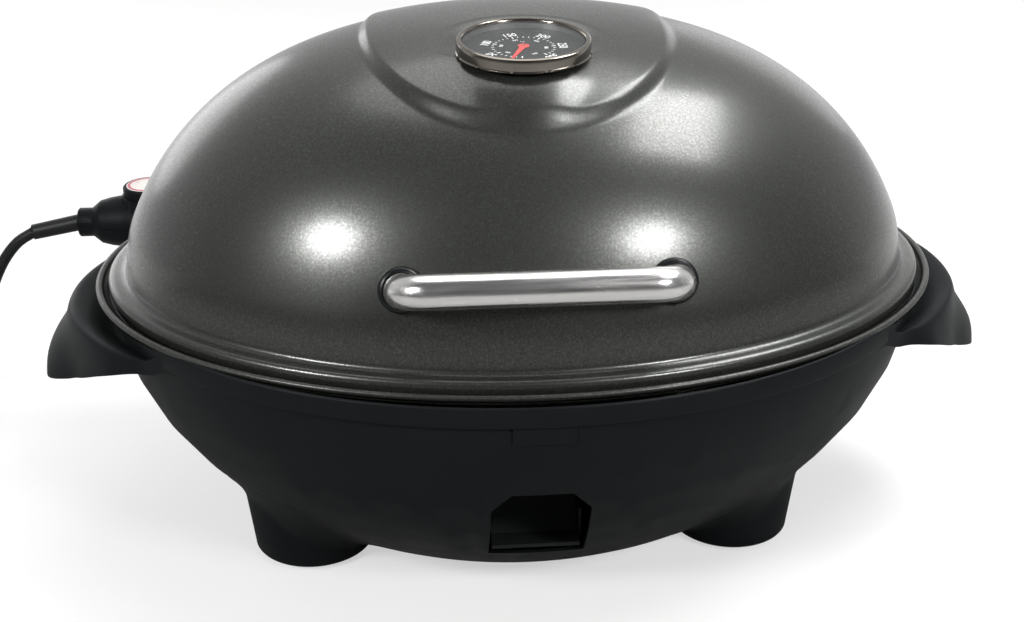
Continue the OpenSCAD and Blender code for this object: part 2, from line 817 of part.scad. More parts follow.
// ----------------------------------------------------------------- lid
dome_steps = [27, 36, 48, 62, 78, 94, 110, 124, 136, 146, 153, 158, 161, 162.5];
flange_line = [[flange_r, flange_z], [flange_r, flange_z + flange_h - 3],
  [flange_r - 1.4, flange_z + flange_h - 0.8], [flange_r - 4, flange_z + flange_h],
  [dome_r0 + 2.5, flange_z + flange_h + 0.6], [dome_r0 + 0.6, flange_z + flange_h + 1.6],
  [dome_r0, flange_z + flange_h + 3.6]];
dome_line = concat(flange_line,
  [for (s = dome_steps) [dome_r(flange_z + s * dome_h / 163), flange_z + s * dome_h / 163]],
  [[0, dome_top_z]]);
crown_scale = 1.03;
pad_r = gauge_r + 2;
pad_z = dome_z(gauge_y / plate_k) + 2;
foot_z = flange_z + flange_h + 3.9;
foot_h2 = 15;
foot_y = dome_y(hinge_x, foot_z + foot_h2 / 2);
foot_turn = atan(plate_k * plate_k * hinge_x / foot_y);
rivet_side = 13;

module dome_solid(inner) {
  line = inner > 0 ? moved(dome_line, -inner) : dome_line;
  low = inner > 0 ? flange_z - 1 : flange_z;
  n = len(line);
  oval_turn(plate_k)
    polygon(concat([[0, low], [line[0][0], low]],
      [for (i = [1:n - 2]) line[i]], [[0, dome_top_z - inner]]));
}

module crown(drop) {
  intersection() {
    oval_turn(plate_k)
      polygon(concat([[0, 280], [crown_scale * dome_r(290), 280]],
        [for (s = [110, 124, 136, 146, 153, 158, 161, 162.5]) let(z = flange_z + s * dome_h / 163)
          [crown_scale * dome_r(z) - drop, z + crown_h - drop]],
        [[0, dome_top_z + crown_h - drop]]));
    translate([0, 0, 270])
      linear_extrude(100)
        polygon(oval(crown_rx - drop, crown_ry - drop, 2.3, 48));
  }
}

module at_gauge() {
  translate([0, -gauge_y, pad_z])
    rotate([gauge_tilt, 0, 0])
      children();
}

module at_foot() {
  translate([hinge_x, foot_y, 0])
    rotate([0, 0, -foot_turn])
      children();
}

// Frame of the handle: its origin lies on the dome, halfway between the feet
leg_cx = handle_half - handle_r;
seat_y = dome_y(leg_cx, handle_z);
seat_turn = atan(plate_k * plate_k * leg_cx / seat_y);
seat_lean = atan(-dome_slope(handle_z) * plate_k);

module at_handle() {
  translate([0, -seat_y, handle_z])
    rotate([-handle_tilt, 0, 0])
      children();
}

// Everything on the lid's side of the plane that touches the dome at a handle foot
module dome_side(off) {
  translate([leg_cx, -seat_y, handle_z])
    rotate([0, 0, seat_turn])
      rotate([-seat_lean, 0, 0])
        translate([-40, -off, -40])
          cube([80, 80, 80]);
}

module lid_shell() {
  color("#45484a")
  difference() {
    union() {
      dome_solid(0);
      crown(0);
      at_gauge()
        translate([0, 0, -24])
          cylinder(r = pad_r, h = 24, $fn = 72);
    }
    dome_solid(lid_wall);
    at_gauge()
      translate([0, 0, -40])
        cylinder(r = pad_r - lid_wall, h = 40 - lid_wall, $fn = 72);
    at_gauge()
      cylinder(r = pad_r, h = 30, $fn = 72);
    at_gauge()
      translate([0, 0, -5])
        cylinder(r = gauge_probe_r + 1.2, h = 10, $fn = 32);
    mirror_x()
      at_handle()
        translate([leg_cx, 12, 0])
          rotate([90, 0, 0])
            cylinder(r = 3.4, h = 24, $fn = 32);
    mirror_x()
      at_foot()
        for (s = [-1, 1])
          translate([s * rivet_side, 6, foot_z + foot_h2 / 2])
            rotate([90, 0, 0])
              cylinder(r = 2.1, h = 12, $fn = 24);
  }
}

module lid_hinge() {
  difference() {
    union() {
      bar_x(ear_r, hinge_x - knuckle_w / 2, hinge_x + knuckle_w / 2, hinge_y, hinge_z);
      translate([hinge_x - knuckle_w / 2, foot_y - 4, foot_z])
        cube([knuckle_w, hinge_y - foot_y + 4, hinge_z + ear_r - foot_z]);
      at_foot()
        translate([-rivet_side - 5, gap, foot_z])
          cube([2 * rivet_side + 10, hinge_t, foot_h2]);
    }
    at_foot()
      translate([-40, -40, foot_z - 1])
        cube([80, 40 + gap, 40]);
    bar_x(hinge_pin_r + pin_fit, hinge_x - knuckle_w, hinge_x + knuckle_w, hinge_y, hinge_z);
    at_foot()
      for (s = [-1, 1])
        translate([s * rivet_side, 6, foot_z + foot_h2 / 2])
          rotate([90, 0, 0])
            cylinder(r = 2.1, h = 12, $fn = 24);
  }
}

module lid_hinge_left() {
  color("#a9abae")
  mirror([1, 0, 0])
    lid_hinge();
}

module lid_hinge_right() {
  color("#a9abae")
  lid_hinge();
}

module lid_rivets() {
  color("#c0c2c4")
  mirror_x()
    at_foot()
      for (s = [-1, 1])
        translate([s * rivet_side, 0, foot_z + foot_h2 / 2]) {
          translate([0, gap + hinge_t + fit, 0])
            rotate([-90, 0, 0])
              cylinder(r = 3.8, h = 1.4, $fn = 32);
          translate([0, gap + hinge_t + 1, 0])
            rotate([90, 0, 0])
              cylinder(r = 2, h = gap + hinge_t + lid_wall + 2.6, $fn = 32);
          translate([0, -lid_wall - 1.2, 0])
            rotate([90, 0, 0])
              cylinder(r = 3.8, h = 1.4, $fn = 32);
        }
}

// -------------------------------------------------------------- handle
module handle_bar(r) {
  for (s = [-1, 1]) {
    translate([s * leg_cx, 10, 0])
      rotate([90, 0, 0])
        cylinder(r = r, h = 10 + handle_reach - handle_bend, $fn = 48);
    translate([s * (leg_cx - handle_bend), handle_bend - handle_reach, 0])
      rotate([0, 0, s > 0 ? -90 : 180])
        rotate_extrude(angle = 90, $fn = 64)
          translate([handle_bend, 0])
            circle(r = r, $fn = 48);
  }
  bar_x(r, handle_bend - leg_cx, leg_cx - handle_bend, -handle_reach, 0);
}

module handle_tube() {
  color("#dfe1e3")
  difference() {
    at_handle()
      handle_bar(handle_r);
    at_handle()
      handle_bar(handle_r - handle_wall);
    mirror_x()
      dome_side(0.9);
  }
}

module handle_plugs() {
  color("#8c8f92")
  difference() {
    at_handle()
      for (s = [-1, 1])
        translate([s * leg_cx, 10, 0])
          rotate([90, 0, 0])
            cylinder(r = handle_r - handle_wall - fit, h = 20, $fn = 48);
    mirror_x()
      dome_side(1.1);
    at_handle()
      for (s = [-1, 1])
        translate([s * leg_cx, 12, 0])
          rotate([90, 0, 0])
            cylinder(r = 2.5 + fit, h = 20, $fn = 32);
  }
}

module handle_bezels() {
  color("#1c1d1f")
  difference() {
    at_handle()
      for (s = [-1, 1])
        translate([s * leg_cx, 10, 0])
          rotate([90, 0, 0])
            cylinder(r = cup_r, h = 16, $fn = 48);
    at_handle()
      for (s = [-1, 1])
        translate([s * leg_cx, 12, 0])
          rotate([90, 0, 0])
            cylinder(r = handle_r + fit, h = 24, $fn = 48);
    mirror_x()
      dome_side(gap);
  }
}

screw_seat = lid_wall + 2.6;

module handle_screws() {
  color("#c8cacc")
  at_handle()
    for (s = [-1, 1])
      translate([s * leg_cx, screw_seat + 1.5, 0])
        rotate([-90, 0, 0])
          screw(2.5, screw_seat + 8, 4.6, 3.2);
}

module handle_washers() {
  color("#b5b7b9")
  at_handle()
    for (s = [-1, 1])
      translate([s * leg_cx, screw_seat + 1.4, 0])
        rotate([90, 0, 0])
          difference() {
            cylinder(r = 6, h = 1.2, $fn = 48);
            translate([0, 0, -1])
              cylinder(r = 2.7, h = 4, $fn = 32);
          }
}

// --------------------------------------------------------- thermometer
dial_z = gauge_h - 3.6;

module thermometer_bezel() {
  color("#b9b3aa")
  at_gauge()
    rotate_extrude($fn = smooth)
      polygon([[gauge_r - 1.2, gap], [gauge_r, gap + 1], [gauge_r, gauge_h - 1.4],
        [gauge_r - 1, gauge_h - 0.3], [gauge_r - 2.4, gauge_h], [gauge_r - 3.6, gauge_h - 0.5],
        [gauge_r - 3.6, gauge_h - 1.2], [gauge_r - 2.2, gauge_h - 1.2], [gauge_r - 2.2, gap]]);
}

module thermometer_case() {
  color("#3a3b3d")
  at_gauge()
    difference() {
      translate([0, 0, gap])
        cylinder(r = gauge_r - 2.2 - fit, h = gauge_h - 2.7 - gap, $fn = smooth);
      translate([0, 0, gap + 1])
        cylinder(r = gauge_r - 3.2, h = gauge_h, $fn = smooth);
      translate([0, 0, -1])
        cylinder(r = gauge_probe_r + fit, h = 5, $fn = 32);
    }
}

module thermometer_dial() {
  color("#202326")
  at_gauge()
    difference() {
      translate([0, 0, dial_z - 0.8])
        cylinder(r = gauge_r - 3.4, h = 0.8, $fn = smooth);
      translate([0, 0, dial_z - 2])
        cylinder(r = 1, h = 4, $fn = 24);
    }
}

module thermometer_glass() {
  color("#dfe6e8", 0.4)
  at_gauge()
    translate([0, 0, gauge_h - 2.5])
      cylinder(r = gauge_r - 2.4, h = 1.1, $fn = smooth);
}

module thermometer_stem() {
  color("#c6c8ca")
  at_gauge() {
    translate([0, 0, -gauge_probe])
      cylinder(r = gauge_probe_r, h = gauge_probe + gap + 1.6, $fn = 48);
    translate([0, 0, gap + 1 + fit])
      cylinder(r = gauge_probe_r + 2.5, h = 1.2, $fn = 48);
    cylinder(r = 0.6, h = dial_z + 1.2, $fn = 24);
  }
}

module thermometer_washer() {
  color("#b5b7b9")
  at_gauge()
    translate([0, 0, -lid_wall - gap - 1.2])
      difference() {
        cylinder(r = 9, h = 1.2, $fn = 48);
        translate([0, 0, -1])
          cylinder(r = gauge_probe_r + 0.3, h = 4, $fn = 32);
      }
}

module thermometer_nut() {
  color("#c0c2c4")
  at_gauge()
    translate([0, 0, -lid_wall - 2 * gap - 5.2])
      difference() {
        cylinder(r = 6.4, h = 4, $fn = 6);
        translate([0, 0, -1])
          cylinder(r = gauge_probe_r + fit, h = 6, $fn = 32);
      }
}

needle_angle = -111;

module thermometer_needle() {
  color("#d23b3b")
  at_gauge()
    translate([0, 0, dial_z + 0.4])
      rotate([0, 0, needle_angle])
        difference() {
          union() {
            cylinder(r = 3.2, h = 0.6, $fn = 48);
            linear_extrude(0.6)
              polygon([[0, -1.7], [gauge_r - 13, -0.5], [gauge_r - 12, 0], [gauge_r - 13, 0.5], [0, 1.7]]);
          }
          translate([0, 0, -1])
            cylinder(r = 0.65, h = 3, $fn = 24);
        }
}

// ---------------------------------------------------------- controller
nose_r = sleeve_r - gap;
nose_x = housing_x2 - 2;
barrel_x2 = housing_x1 - 4;
barrel_x1 = barrel_x2 - barrel_l;
collar_l = 10;
dial_x = barrel_x2 - 43;
turret_h = barrel_r + 0.5;
turret_r = dial_r + 1.2;
dial_seat_z = socket_z + turret_h + 0.2;
shaft_r = 3;
r0 = barrel_r;
barrel_line = [[0, r0 - 3.5], [1.2, r0 - 1.2], [4, r0], [barrel_l - 32, r0], [barrel_l - 22, r0 - 1],
  [barrel_l - 13, r0 - 3.6], [barrel_l - 6, r0 - 7], [barrel_l, r0 - 9], [barrel_l + collar_l - 1, r0 - 9],
  [barrel_l + collar_l, r0 - 10]];

module at_socket() {
  translate([0, socket_y, socket_z])
    children();
}

// The barrel is turned about the socket's axis and runs towards -X
module barrel(inner) {
  line = inner > 0 ? moved(barrel_line, inner) : barrel_line;
  n = len(line);
  x1 = inner;
  x2 = inner > 0 ? barrel_l + collar_l - inner : barrel_l + collar_l;
  at_socket()
    translate([barrel_x2, 0, 0])
      rotate([0, -90, 0])
        rotate_extrude($fn = smooth)
          polygon(concat([[0, x1], [line[0][1], x1]], [for (i = [1:n - 2]) [line[i][1], line[i][0]]],
            [[line[n - 1][1], x2], [0, x2]]));
}

// The two halves of the case meet with a fine seam
module half_space(up) {
  translate([barrel_x1 - 50, socket_y - 60, up ? socket_z - seam : socket_z + seam - 100])
    cube([barrel_l + 120, 120, 100]);
}

module barrel_cuts() {
  bar_x(nose_r + fit, barrel_x2 - 6, barrel_x2 + 10, socket_y, socket_z);
  bar_x(cord_d / 2 + 2, barrel_x1 - collar_l - 5, barrel_x1 + 10, socket_y, socket_z);
}

controller_screw_x = [barrel_x2 - 12, barrel_x2 - 58];

module controller_lower() {
  color("#1d1f21")
  difference() {
    union() {
      difference() {
        barrel(0);
        barrel(barrel_wall);
      }
      for (x = controller_screw_x)
        translate([x, socket_y, socket_z - barrel_r + 2])
          cylinder(r = 3.5, h = barrel_r - 2, $fn = 32);
    }
    half_space(true);
    barrel_cuts();
    for (x = controller_screw_x)
      translate([x, socket_y, socket_z - barrel_r - 1])
        cylinder(r = 1.6, h = barrel_r + 2, $fn = 24);
    for (x = controller_screw_x)
      translate([x, socket_y, socket_z - barrel_r - 1])
        cylinder(r = 3, h = 4, $fn = 32);
  }
}

module controller_upper() {
  color("#1d1f21")
  difference() {
    union() {
      difference() {
        union() {
          barrel(0);
          translate([dial_x, socket_y, socket_z])
            cylinder(r = turret_r, h = turret_h, $fn = 64);
        }
        barrel(barrel_wall);
        translate([dial_x, socket_y, socket_z - 1])
          cylinder(r = turret_r - barrel_wall, h = turret_h - barrel_wall + 1, $fn = 64);
      }
      for (x = controller_screw_x)
        translate([x, socket_y, socket_z])
          cylinder(r = 3.5, h = barrel_r - 2, $fn = 32);
    }
    half_space(false);
    barrel_cuts();
    for (x = controller_screw_x)
      translate([x, socket_y, socket_z - 1])
        cylinder(r = 1.5, h = barrel_r - 6, $fn = 24);
    translate([dial_x, socket_y, socket_z])
      cylinder(r = shaft_r + fit, h = barrel_r + 5, $fn = 32);
  }
}

module controller_nose() {
  color("#2b2d2f")
  difference() {
    union() {
      bar_x(nose_r, barrel_x2 - 5.5, nose_x, socket_y, socket_z);
    }
    for (s = [-1, 1])
      bar_x(contact_r + 1 + 2 * fit, barrel_x2 - 7, nose_x + 1, socket_y + s * pin_half, socket_z);
    bar_x(contact_r + fit, barrel_x2 - 7, nose_x + 1, socket_y, socket_z);
  }
}

module contact_sleeves() {
  color("#c9a558")
  difference() {
    for (s = [-1, 1])
      bar_x(contact_r + 1, barrel_x2 - 5, nose_x - 1, socket_y + s * pin_half, socket_z);
    for (s = [-1, 1])
      bar_x(contact_r + fit, barrel_x2 - 6, nose_x, socket_y + s * pin_half, socket_z);
  }
}

module temperature_probe() {
  color("#d3d5d7")
  bar_x(contact_r, barrel_x2 - 8, boss_x1 - 7, socket_y, socket_z);
}

module thermostat_switch() {
  color("#5a4632")
  difference() {
    translate([dial_x - 10, socket_y - 9, socket_z - 14.4])
      cube([32, 18, 21.4]);
    translate([dial_x, socket_y, socket_z - fit])
      cylinder(r = shaft_r + fit, h = 10, $fn = 32);
  }
}

module controller_screws() {
  color("#c8cacc")
  for (x = controller_screw_x)
    translate([x, socket_y, socket_z - barrel_r + 2.9])
      rotate([180, 0, 0])
        screw(1.4, barrel_r + 4, 2.8, 1.6);
}

module dial_knob() {
  color("#202224")
  translate([dial_x, socket_y, dial_seat_z])
    difference() {
      union() {
        cylinder(r = dial_r, h = dial_h - 1, $fn = 64);
        translate([0, 0, dial_h - 1])
          cylinder(r1 = dial_r, r2 = dial_r - 1, h = 1, $fn = 64);
      }
      translate([0, 0, dial_h - 0.7])
        cylinder(r = dial_r - 2.5, h = 2, $fn = 64);
      translate([0, 0, -1])
        cylinder(r = shaft_r + fit, h = dial_h - 1.5, $fn = 32);
    }
}

module dial_pointer() {
  color("#e9e4e0")
  translate([dial_x, socket_y, dial_seat_z + dial_h - 0.65])
    cylinder(r = dial_r - 2.6, h = 0.9, $fn = 64);
}

module dial_shaft() {
  color("#b5b7b9")
  translate([dial_x, socket_y, socket_z])
    cylinder(r = shaft_r, h = barrel_r + dial_h - 2.5, $fn = 32);
}

// ---------------------------------------------------------------- cord
// The cord leaves the barrel pointing a little down
relief_droop = 11;
relief_l = 34;
relief_x = barrel_x1 - collar_l;

module strain_relief() {
  color("#1b1c1e")
  translate([relief_x, socket_y, socket_z])
    rotate([0, -relief_droop, 0])
      rotate([0, -90, 0]) {
        cylinder(r1 = cord_d / 2 + 1.9, r2 = cord_d / 2 + 1.5, h = relief_l, $fn = 48);
        translate([0, 0, -1.5])
          cylinder(r = cord_d / 2 + 1.9, h = 2, $fn = 48);
      }
}

relief_end = [relief_x - relief_l * cos(relief_droop), socket_y,
  socket_z - relief_l * sin(relief_droop)];
coil_at = [-478, 140];
coil_w = 2.2 * cord_d;
coil_top = 2 * cord_d;
drop_route = [relief_end, [-348, 140, 135], [-358, 140, 124], [-366, 140, 111], [-375, 142, 92],
  [-384, 147, 70], [-394, 155, 47], [-407, 165, 27], [-422, 175, 13], [-438, 183, 6.5],
  [-454, 188, 4.4], [-468, 190, 4.2]];
tail_route = [[-528, 138, 12], [-528, 122, 12.5], [-527, 104, 14], [-525, 86, 16.5], [-524, 68, 18]];

function along(pts, i) = let(a = pts[max(i - 1, 0)], b = pts[min(i + 1, len(pts) - 1)]) (b - a) / norm(b - a);
function across(t) = let(s = cross(t, [0, 0.02, 1])) s / norm(s);
function ring(p, t, r, n) = let(s = across(t), u = cross(s, t))
  [for (k = [0:n - 1]) p + r * (cos(k * 360 / n) * s + sin(k * 360 / n) * u)];

// A closed tube along a list of points
module tube(pts, r, n) {
  m = len(pts);
  verts = [for (i = [0:m - 1]) each ring(pts[i], along(pts, i), r, n)];
  quads = [for (i = [0:m - 2], k = [0:n - 1])
    [i * n + k, (i + 1) * n + k, (i + 1) * n + (k + 1) % n, i * n + (k + 1) % n]];
  polyhedron(verts, concat([[for (k = [0:n - 1]) k]], quads,
    [[for (k = [n - 1:-1:0]) (m - 1) * n + k]]));
}

module power_cord() {
  color("#17181a")
  union() {
    tube(drop_route, cord_d / 2, 10);
    tube(tail_route, cord_d / 2, 10);
  }
}

module cord_coil() {
  color("#17181a")
  translate([coil_at[0], coil_at[1], 0])
    rotate_extrude($fn = 72)
      polygon([[coil_r - coil_w / 2, 2], [coil_r - coil_w / 2 + 2, 0], [coil_r + coil_w / 2 - 2, 0],
        [coil_r + coil_w / 2, 2], [coil_r + coil_w / 2, coil_top - 2], [coil_r + coil_w / 2 - 2, coil_top],
        [coil_r - coil_w / 2 + 2, coil_top], [coil_r - coil_w / 2, coil_top - 2]]);
}

module cord_tie() {
  color("#2a2a2a")
  translate([coil_at[0], coil_at[1] + coil_r, 0])
    difference() {
      translate([-4, -coil_w / 2 - 1.2, 0])
        cube([8, coil_w + 2.4, coil_top + 1.2]);
      translate([-5, -coil_w / 2 - 0.2, -1])
        cube([10, coil_w + 0.4, coil_top + 1.2]);
    }
}

plug_r = 18;
clip_half = 2.6;
clip_l = 13;
clip_z = 38;
plug_at = tail_route[len(tail_route) - 1];
plug_y2 = plug_at[1] + 1;

module plug_turned() {
  translate([plug_at[0], plug_y2, plug_r])
    rotate([90, 0, 0])
      children();
}

module plug_body() {
  color("#17181a")
  difference() {
    plug_turned()
      rotate_extrude($fn = 64)
        polygon([[0, 0], [6, 0], [7.5, 18], [12, 24], [plug_r - 1, 30], [plug_r, 33], [plug_r, 44],
          [plug_r - 1, 52], [0, 52]]);
    plug_turned()
      for (s = [-1, 1])
        translate([s * 9.5, 0, 44])
          cylinder(r = 2.4 + fit, h = 20, $fn = 32);
    plug_turned()
      for (s = [-1, 1])
        translate([-clip_half - 0.4, s * (plug_r - 1.4) - 1.6, clip_z])
          cube([2 * clip_half + 0.8, 3.2, clip_l + 17]);
  }
}

module plug_pins() {
  color("#c9b26a")
  plug_turned()
    for (s = [-1, 1])
      translate([s * 9.5, 0, 44.5]) {
        cylinder(r = 2.4, h = 24.5, $fn = 32);
        translate([0, 0, 24.5])
          cylinder(r1 = 2.4, r2 = 1.4, h = 2, $fn = 32);
      }
}

module plug_earth_clips() {
  color("#c9b26a")
  plug_turned()
    for (s = [-1, 1])
      translate([-clip_half, s * (plug_r - 1.6) - 0.5, clip_z + 0.5])
        cube([2 * clip_half, 1, clip_l]);
}

base_bowl();
rim_frame();
rubber_feet();
heat_shield();
shield_screws();
tray_channel();
channel_screws();
grill_plate();
heating_element();
element_clamps();
clamp_screws();
terminal_bushings();
terminal_pins();
socket_sleeve();
hinge_bracket_left();
hinge_bracket_right();
bracket_screws();
hinge_pins();
grease_tray();
lid_shell();
lid_hinge_left();
lid_hinge_right();
lid_rivets();
handle_tube();
handle_plugs();
handle_bezels();
handle_screws();
handle_washers();
thermometer_bezel();
thermometer_case();
thermometer_dial();
thermometer_glass();
thermometer_stem();
thermometer_washer();
thermometer_nut();
thermometer_needle();
controller_lower();
controller_upper();
controller_nose();
contact_sleeves();
temperature_probe();
thermostat_switch();
controller_screws();
dial_knob();
dial_pointer();
dial_shaft();
strain_relief();
power_cord();
cord_coil();
cord_tie();
plug_body();
plug_pins();
plug_earth_clips();
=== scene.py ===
import json
import math

import bpy
from mathutils import Matrix, Vector


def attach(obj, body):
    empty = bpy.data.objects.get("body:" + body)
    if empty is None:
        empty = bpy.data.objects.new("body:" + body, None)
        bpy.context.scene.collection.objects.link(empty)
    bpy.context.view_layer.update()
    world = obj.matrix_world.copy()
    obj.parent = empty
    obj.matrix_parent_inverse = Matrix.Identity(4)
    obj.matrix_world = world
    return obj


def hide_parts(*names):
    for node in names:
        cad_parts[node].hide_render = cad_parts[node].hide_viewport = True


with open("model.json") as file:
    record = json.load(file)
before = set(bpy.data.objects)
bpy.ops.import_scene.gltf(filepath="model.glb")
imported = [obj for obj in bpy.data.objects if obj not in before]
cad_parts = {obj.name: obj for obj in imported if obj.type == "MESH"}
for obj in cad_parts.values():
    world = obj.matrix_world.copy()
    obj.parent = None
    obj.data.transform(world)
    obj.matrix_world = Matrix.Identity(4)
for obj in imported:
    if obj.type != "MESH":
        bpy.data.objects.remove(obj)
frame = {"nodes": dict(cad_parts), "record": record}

bl_info = {
    "name": "Electric Table Grill",
    "version": (1, 0, 0),
    "blender": (4, 5, 0),
    "location": "View3D > Sidebar > Grill",
    "description": "Builds the lid, base, grips, thermometer, handle and controller of a table grill",
    "category": "Add Mesh",
}

MM = 0.001

# Lengths are in millimetres and angles in degrees, except for the camera and the lamps.
# Ovals of the plate with its lid, and of the frame with its bowl
PLATE_RX, PLATE_K = 263.0, 193.0 / 263.0
FRAME_RX, FRAME_K = 255.0, 202.5 / 255.0
BOWL_RX, BOWL_TOP, BAND_TOP = 251.1, 154.9, 167.5
BOWL_DROP, BOWL_BEND, BOWL_FLOOR = 178.7, 1.88, 8.0
# The dome is a superellipse that ends in an upright wall, and its crown another one
DOME_R, DOME_LOW, DOME_SPAN, DOME_BEND = 257.58, 79.8, 244.5, 2.525
DOME_WALL_R, DOME_WALL_BLEND, DOME_STEPS = 243.0, 6.0, 320
CROWN_RX, CROWN_RY, CROWN_BEND, CROWN_LOW = 91, 117.5, 2.3, 270
# Where the crown's step starts to grow towards the front, and over how far
CROWN_FRONT, CROWN_FRONT_RUN = 45, 60
# The lid's rings: up its wall by height, then over its top by radius, closest near the crown's step
WALL_START, WALL_STEP, WALL_END_R = 181.5, 2.5, 222
TOP_START_R, TOP_STEP, CROWN_RINGS, CROWN_STEP = 219.5, 2.0, (84, 170), 1.2
# The thermometer's seat, and the pad that falls away round it
PAD_R, PAD_FALL, PAD_SOFT, SEAT_R = 26.0, 46.0, 5.0, 39.0
GAUGE_Y, GAUGE_Z, GAUGE_TILT = -65.0, 319.624, 4.0
DIAL_FACE, DIAL_SUNK, PRINT = 4.9, 2.0, 0.05
# Where the scale starts and its degrees of turn per degree Celsius
SCALE_START, SCALE_STEP = 263.0, 1.04
# Inner end and width of the scale's long and short marks, and the outer end of both
MARK_LONG, MARK_SHORT, MARK_OUTER = (15.8, 0.75), (16.6, 0.42), 18.2
# The crimp notches in the bezel's lower lip: every so many degrees, from and to, and how deep
NOTCH_TURN, NOTCH_FROM, NOTCH_TO, NOTCH_R, NOTCH_TOP = 30, 12.6, 17.4, 36.9, 1.75
LEG_X, HANDLE_Z, HANDLE_REACH, HANDLE_TILT = 72.6, 219.0, 26.5, 20.0
TUBE_R, TUBE_BEND, TUBE_PARTS, TUBE_SPAN_PARTS = 9.4, 15.0, 14, 24
GRIP_CX, GRIP_TOP, GRIP_FOOT, GRIP_R = 160.0, 156.0, 123.0, 118.0
GRIP_HALF, GRIP_COLUMNS, GRIP_WALL_T = 73, 73, 2.4
# A grip's foot rises past a distance from the middle, and its tongue fades out over an angle
GRIP_LIFT_Y, GRIP_LIFT_RUN, GRIP_LIFT, TONGUE_HALF, TONGUE_FADE = 46.0, 62.0, 24.5, 8.0, 23.0
HINGE_X, FOOT_X, FOOT_Y = 70.0, 134.5, 57.0
# A leg's cone, and its fillet into the bowl: the least, and how much more towards the middle
LEG_R, LEG_FLARE, LEG_FOOT, LEG_FILLET, LEG_FILLET_MORE = 37.6, 0.11, 2.6, 9.0, 14.0
LEG_ROWS, LEG_COLUMNS = 17, 96
TAB_WIDE, TAB_HIGH, TAB_Z, TAB_PROUD = 34.0, 11.6, 149.4, 1.3
BARREL_X, SOCKET_Y, SOCKET_Z = -209.0, 140.0, 148.5
DIAL_X, DIAL_TOP, DIAL_R = -252.0, 175.77, 17.5
# The coil's middle, and the levels and turns of its two layers
COIL_X, COIL_Y, COIL_LOW, COIL_HIGH, COIL_HALF_GAP = -478.0, 140.0, 4.1, 12.3, 4.4
COIL_START, COIL_END, COIL_PART, COIL_EASE = 90.0, 1260.01, 15.0, 60
COIL_INWARD, COIL_UPWARD, COIL_OUTWARD = 386, 690, 990
# The camera's place in metres and its turns in radians
CAMERA_PLACE, CAMERA_LENS, CAMERA_SENSOR = (-0.067106, -0.885669, 0.537666), 52.72, 36.0
CAMERA_YAW, CAMERA_PITCH, CAMERA_ROLL = -0.07285, 0.4298, -0.004917
# The lamps look at a place in metres. Each has a name, azimuth and elevation in degrees, a
# distance, width and height in metres, and watts.
LAMP_AIM = (0, -0.06, 0.22)
LAMPS = [("left softbox", -52, 29, 1.5, 0.36, 0.30, 14.0),
         ("right softbox", 36, 29, 1.5, 0.36, 0.30, 13.0),
         ("side softbox", 98, 57, 1.6, 0.98, 0.52, 24.0),
         ("top softbox", 180, 68, 2.0, 1.8, 1.6, 15.0),
         ("left rim softbox", -146, 9, 1.9, 1.1, 0.8, 3.5),
         ("right rim softbox", 150, 9, 1.9, 1.0, 0.8, 1.2)]


# ------------------------------------------------------------ sizes and colours
class GrillLidSettings(bpy.types.PropertyGroup):
    """Sizes of the lid's pressed shapes"""

    wall: bpy.props.FloatProperty(
        name="Wall", description="Thickness of the lid's sheet steel",
        default=0.0015, min=0.0008, max=0.003, unit="LENGTH")
    crown_rise: bpy.props.FloatProperty(
        name="Crown rise", description="Height of the raised oval on top",
        default=0.0034, min=0.0, max=0.005, unit="LENGTH")
    crown_edge: bpy.props.FloatProperty(
        name="Crown edge", description="Width of the soft step round the raised oval",
        default=0.0074, min=0.003, max=0.02, unit="LENGTH")
    crown_front: bpy.props.FloatProperty(
        name="Crown front", description="How much higher the step of the raised oval is at the front",
        default=0.0016, min=0.0, max=0.005, unit="LENGTH")
    pad_gap: bpy.props.FloatProperty(
        name="Pad gap", description="Gap left under the front of the thermometer",
        default=0.0012, min=0.001, max=0.01, unit="LENGTH")
    pad_blend: bpy.props.FloatProperty(
        name="Pad blend", description="Width of the soft slope round the thermometer's seat",
        default=0.017, min=0.005, max=0.03, unit="LENGTH")


class GrillColourSettings(bpy.types.PropertyGroup):
    """Colours of the grill's finishes"""

    lid_paint: bpy.props.FloatVectorProperty(
        name="Lid paint", description="Graphite metallic paint of the lid", subtype="COLOR",
        size=3, default=(0.0344, 0.0365, 0.0319), min=0.0, max=1.0)
    base_plastic: bpy.props.FloatVectorProperty(
        name="Base plastic", description="Bluish black plastic of the bowl and frame", subtype="COLOR",
        size=3, default=(0.0052, 0.0063, 0.0070), min=0.0, max=1.0)
    needle_red: bpy.props.FloatVectorProperty(
        name="Needle red", description="Red paint of the thermometer's needle", subtype="COLOR",
        size=3, default=(0.62, 0.035, 0.03), min=0.0, max=1.0)
    floor: bpy.props.FloatVectorProperty(
        name="Floor", description="Colour of the plain floor", subtype="COLOR",
        size=3, default=(0.40, 0.40, 0.395), min=0.0, max=1.0)


class GrillCordSettings(bpy.types.PropertyGroup):
    """Sizes of the mains cord"""

    diameter: bpy.props.FloatProperty(
        name="Diameter", description="Diameter of the cord",
        default=0.008, min=0.006, max=0.009, unit="LENGTH")
    coil_radius: bpy.props.FloatProperty(
        name="Coil radius", description="Middle radius of the put-away coil",
        default=0.046, min=0.042, max=0.052, unit="LENGTH")


# ------------------------------------------------------------------ workshop
def lay_off():
    """Leave edit mode and deselect all."""
    if bpy.context.object and bpy.context.object.mode != "OBJECT":
        bpy.ops.object.mode_set(mode="OBJECT")
    bpy.ops.object.select_all(action="DESELECT")


def take(obj):
    """Select one piece alone and make it active."""
    lay_off()
    bpy.context.view_layer.objects.active = obj
    obj.select_set(True)
    return obj


def settle(obj):
    """Put the piece's place into its mesh."""
    take(obj)
    bpy.ops.object.transform_apply(location=True, rotation=True, scale=True)


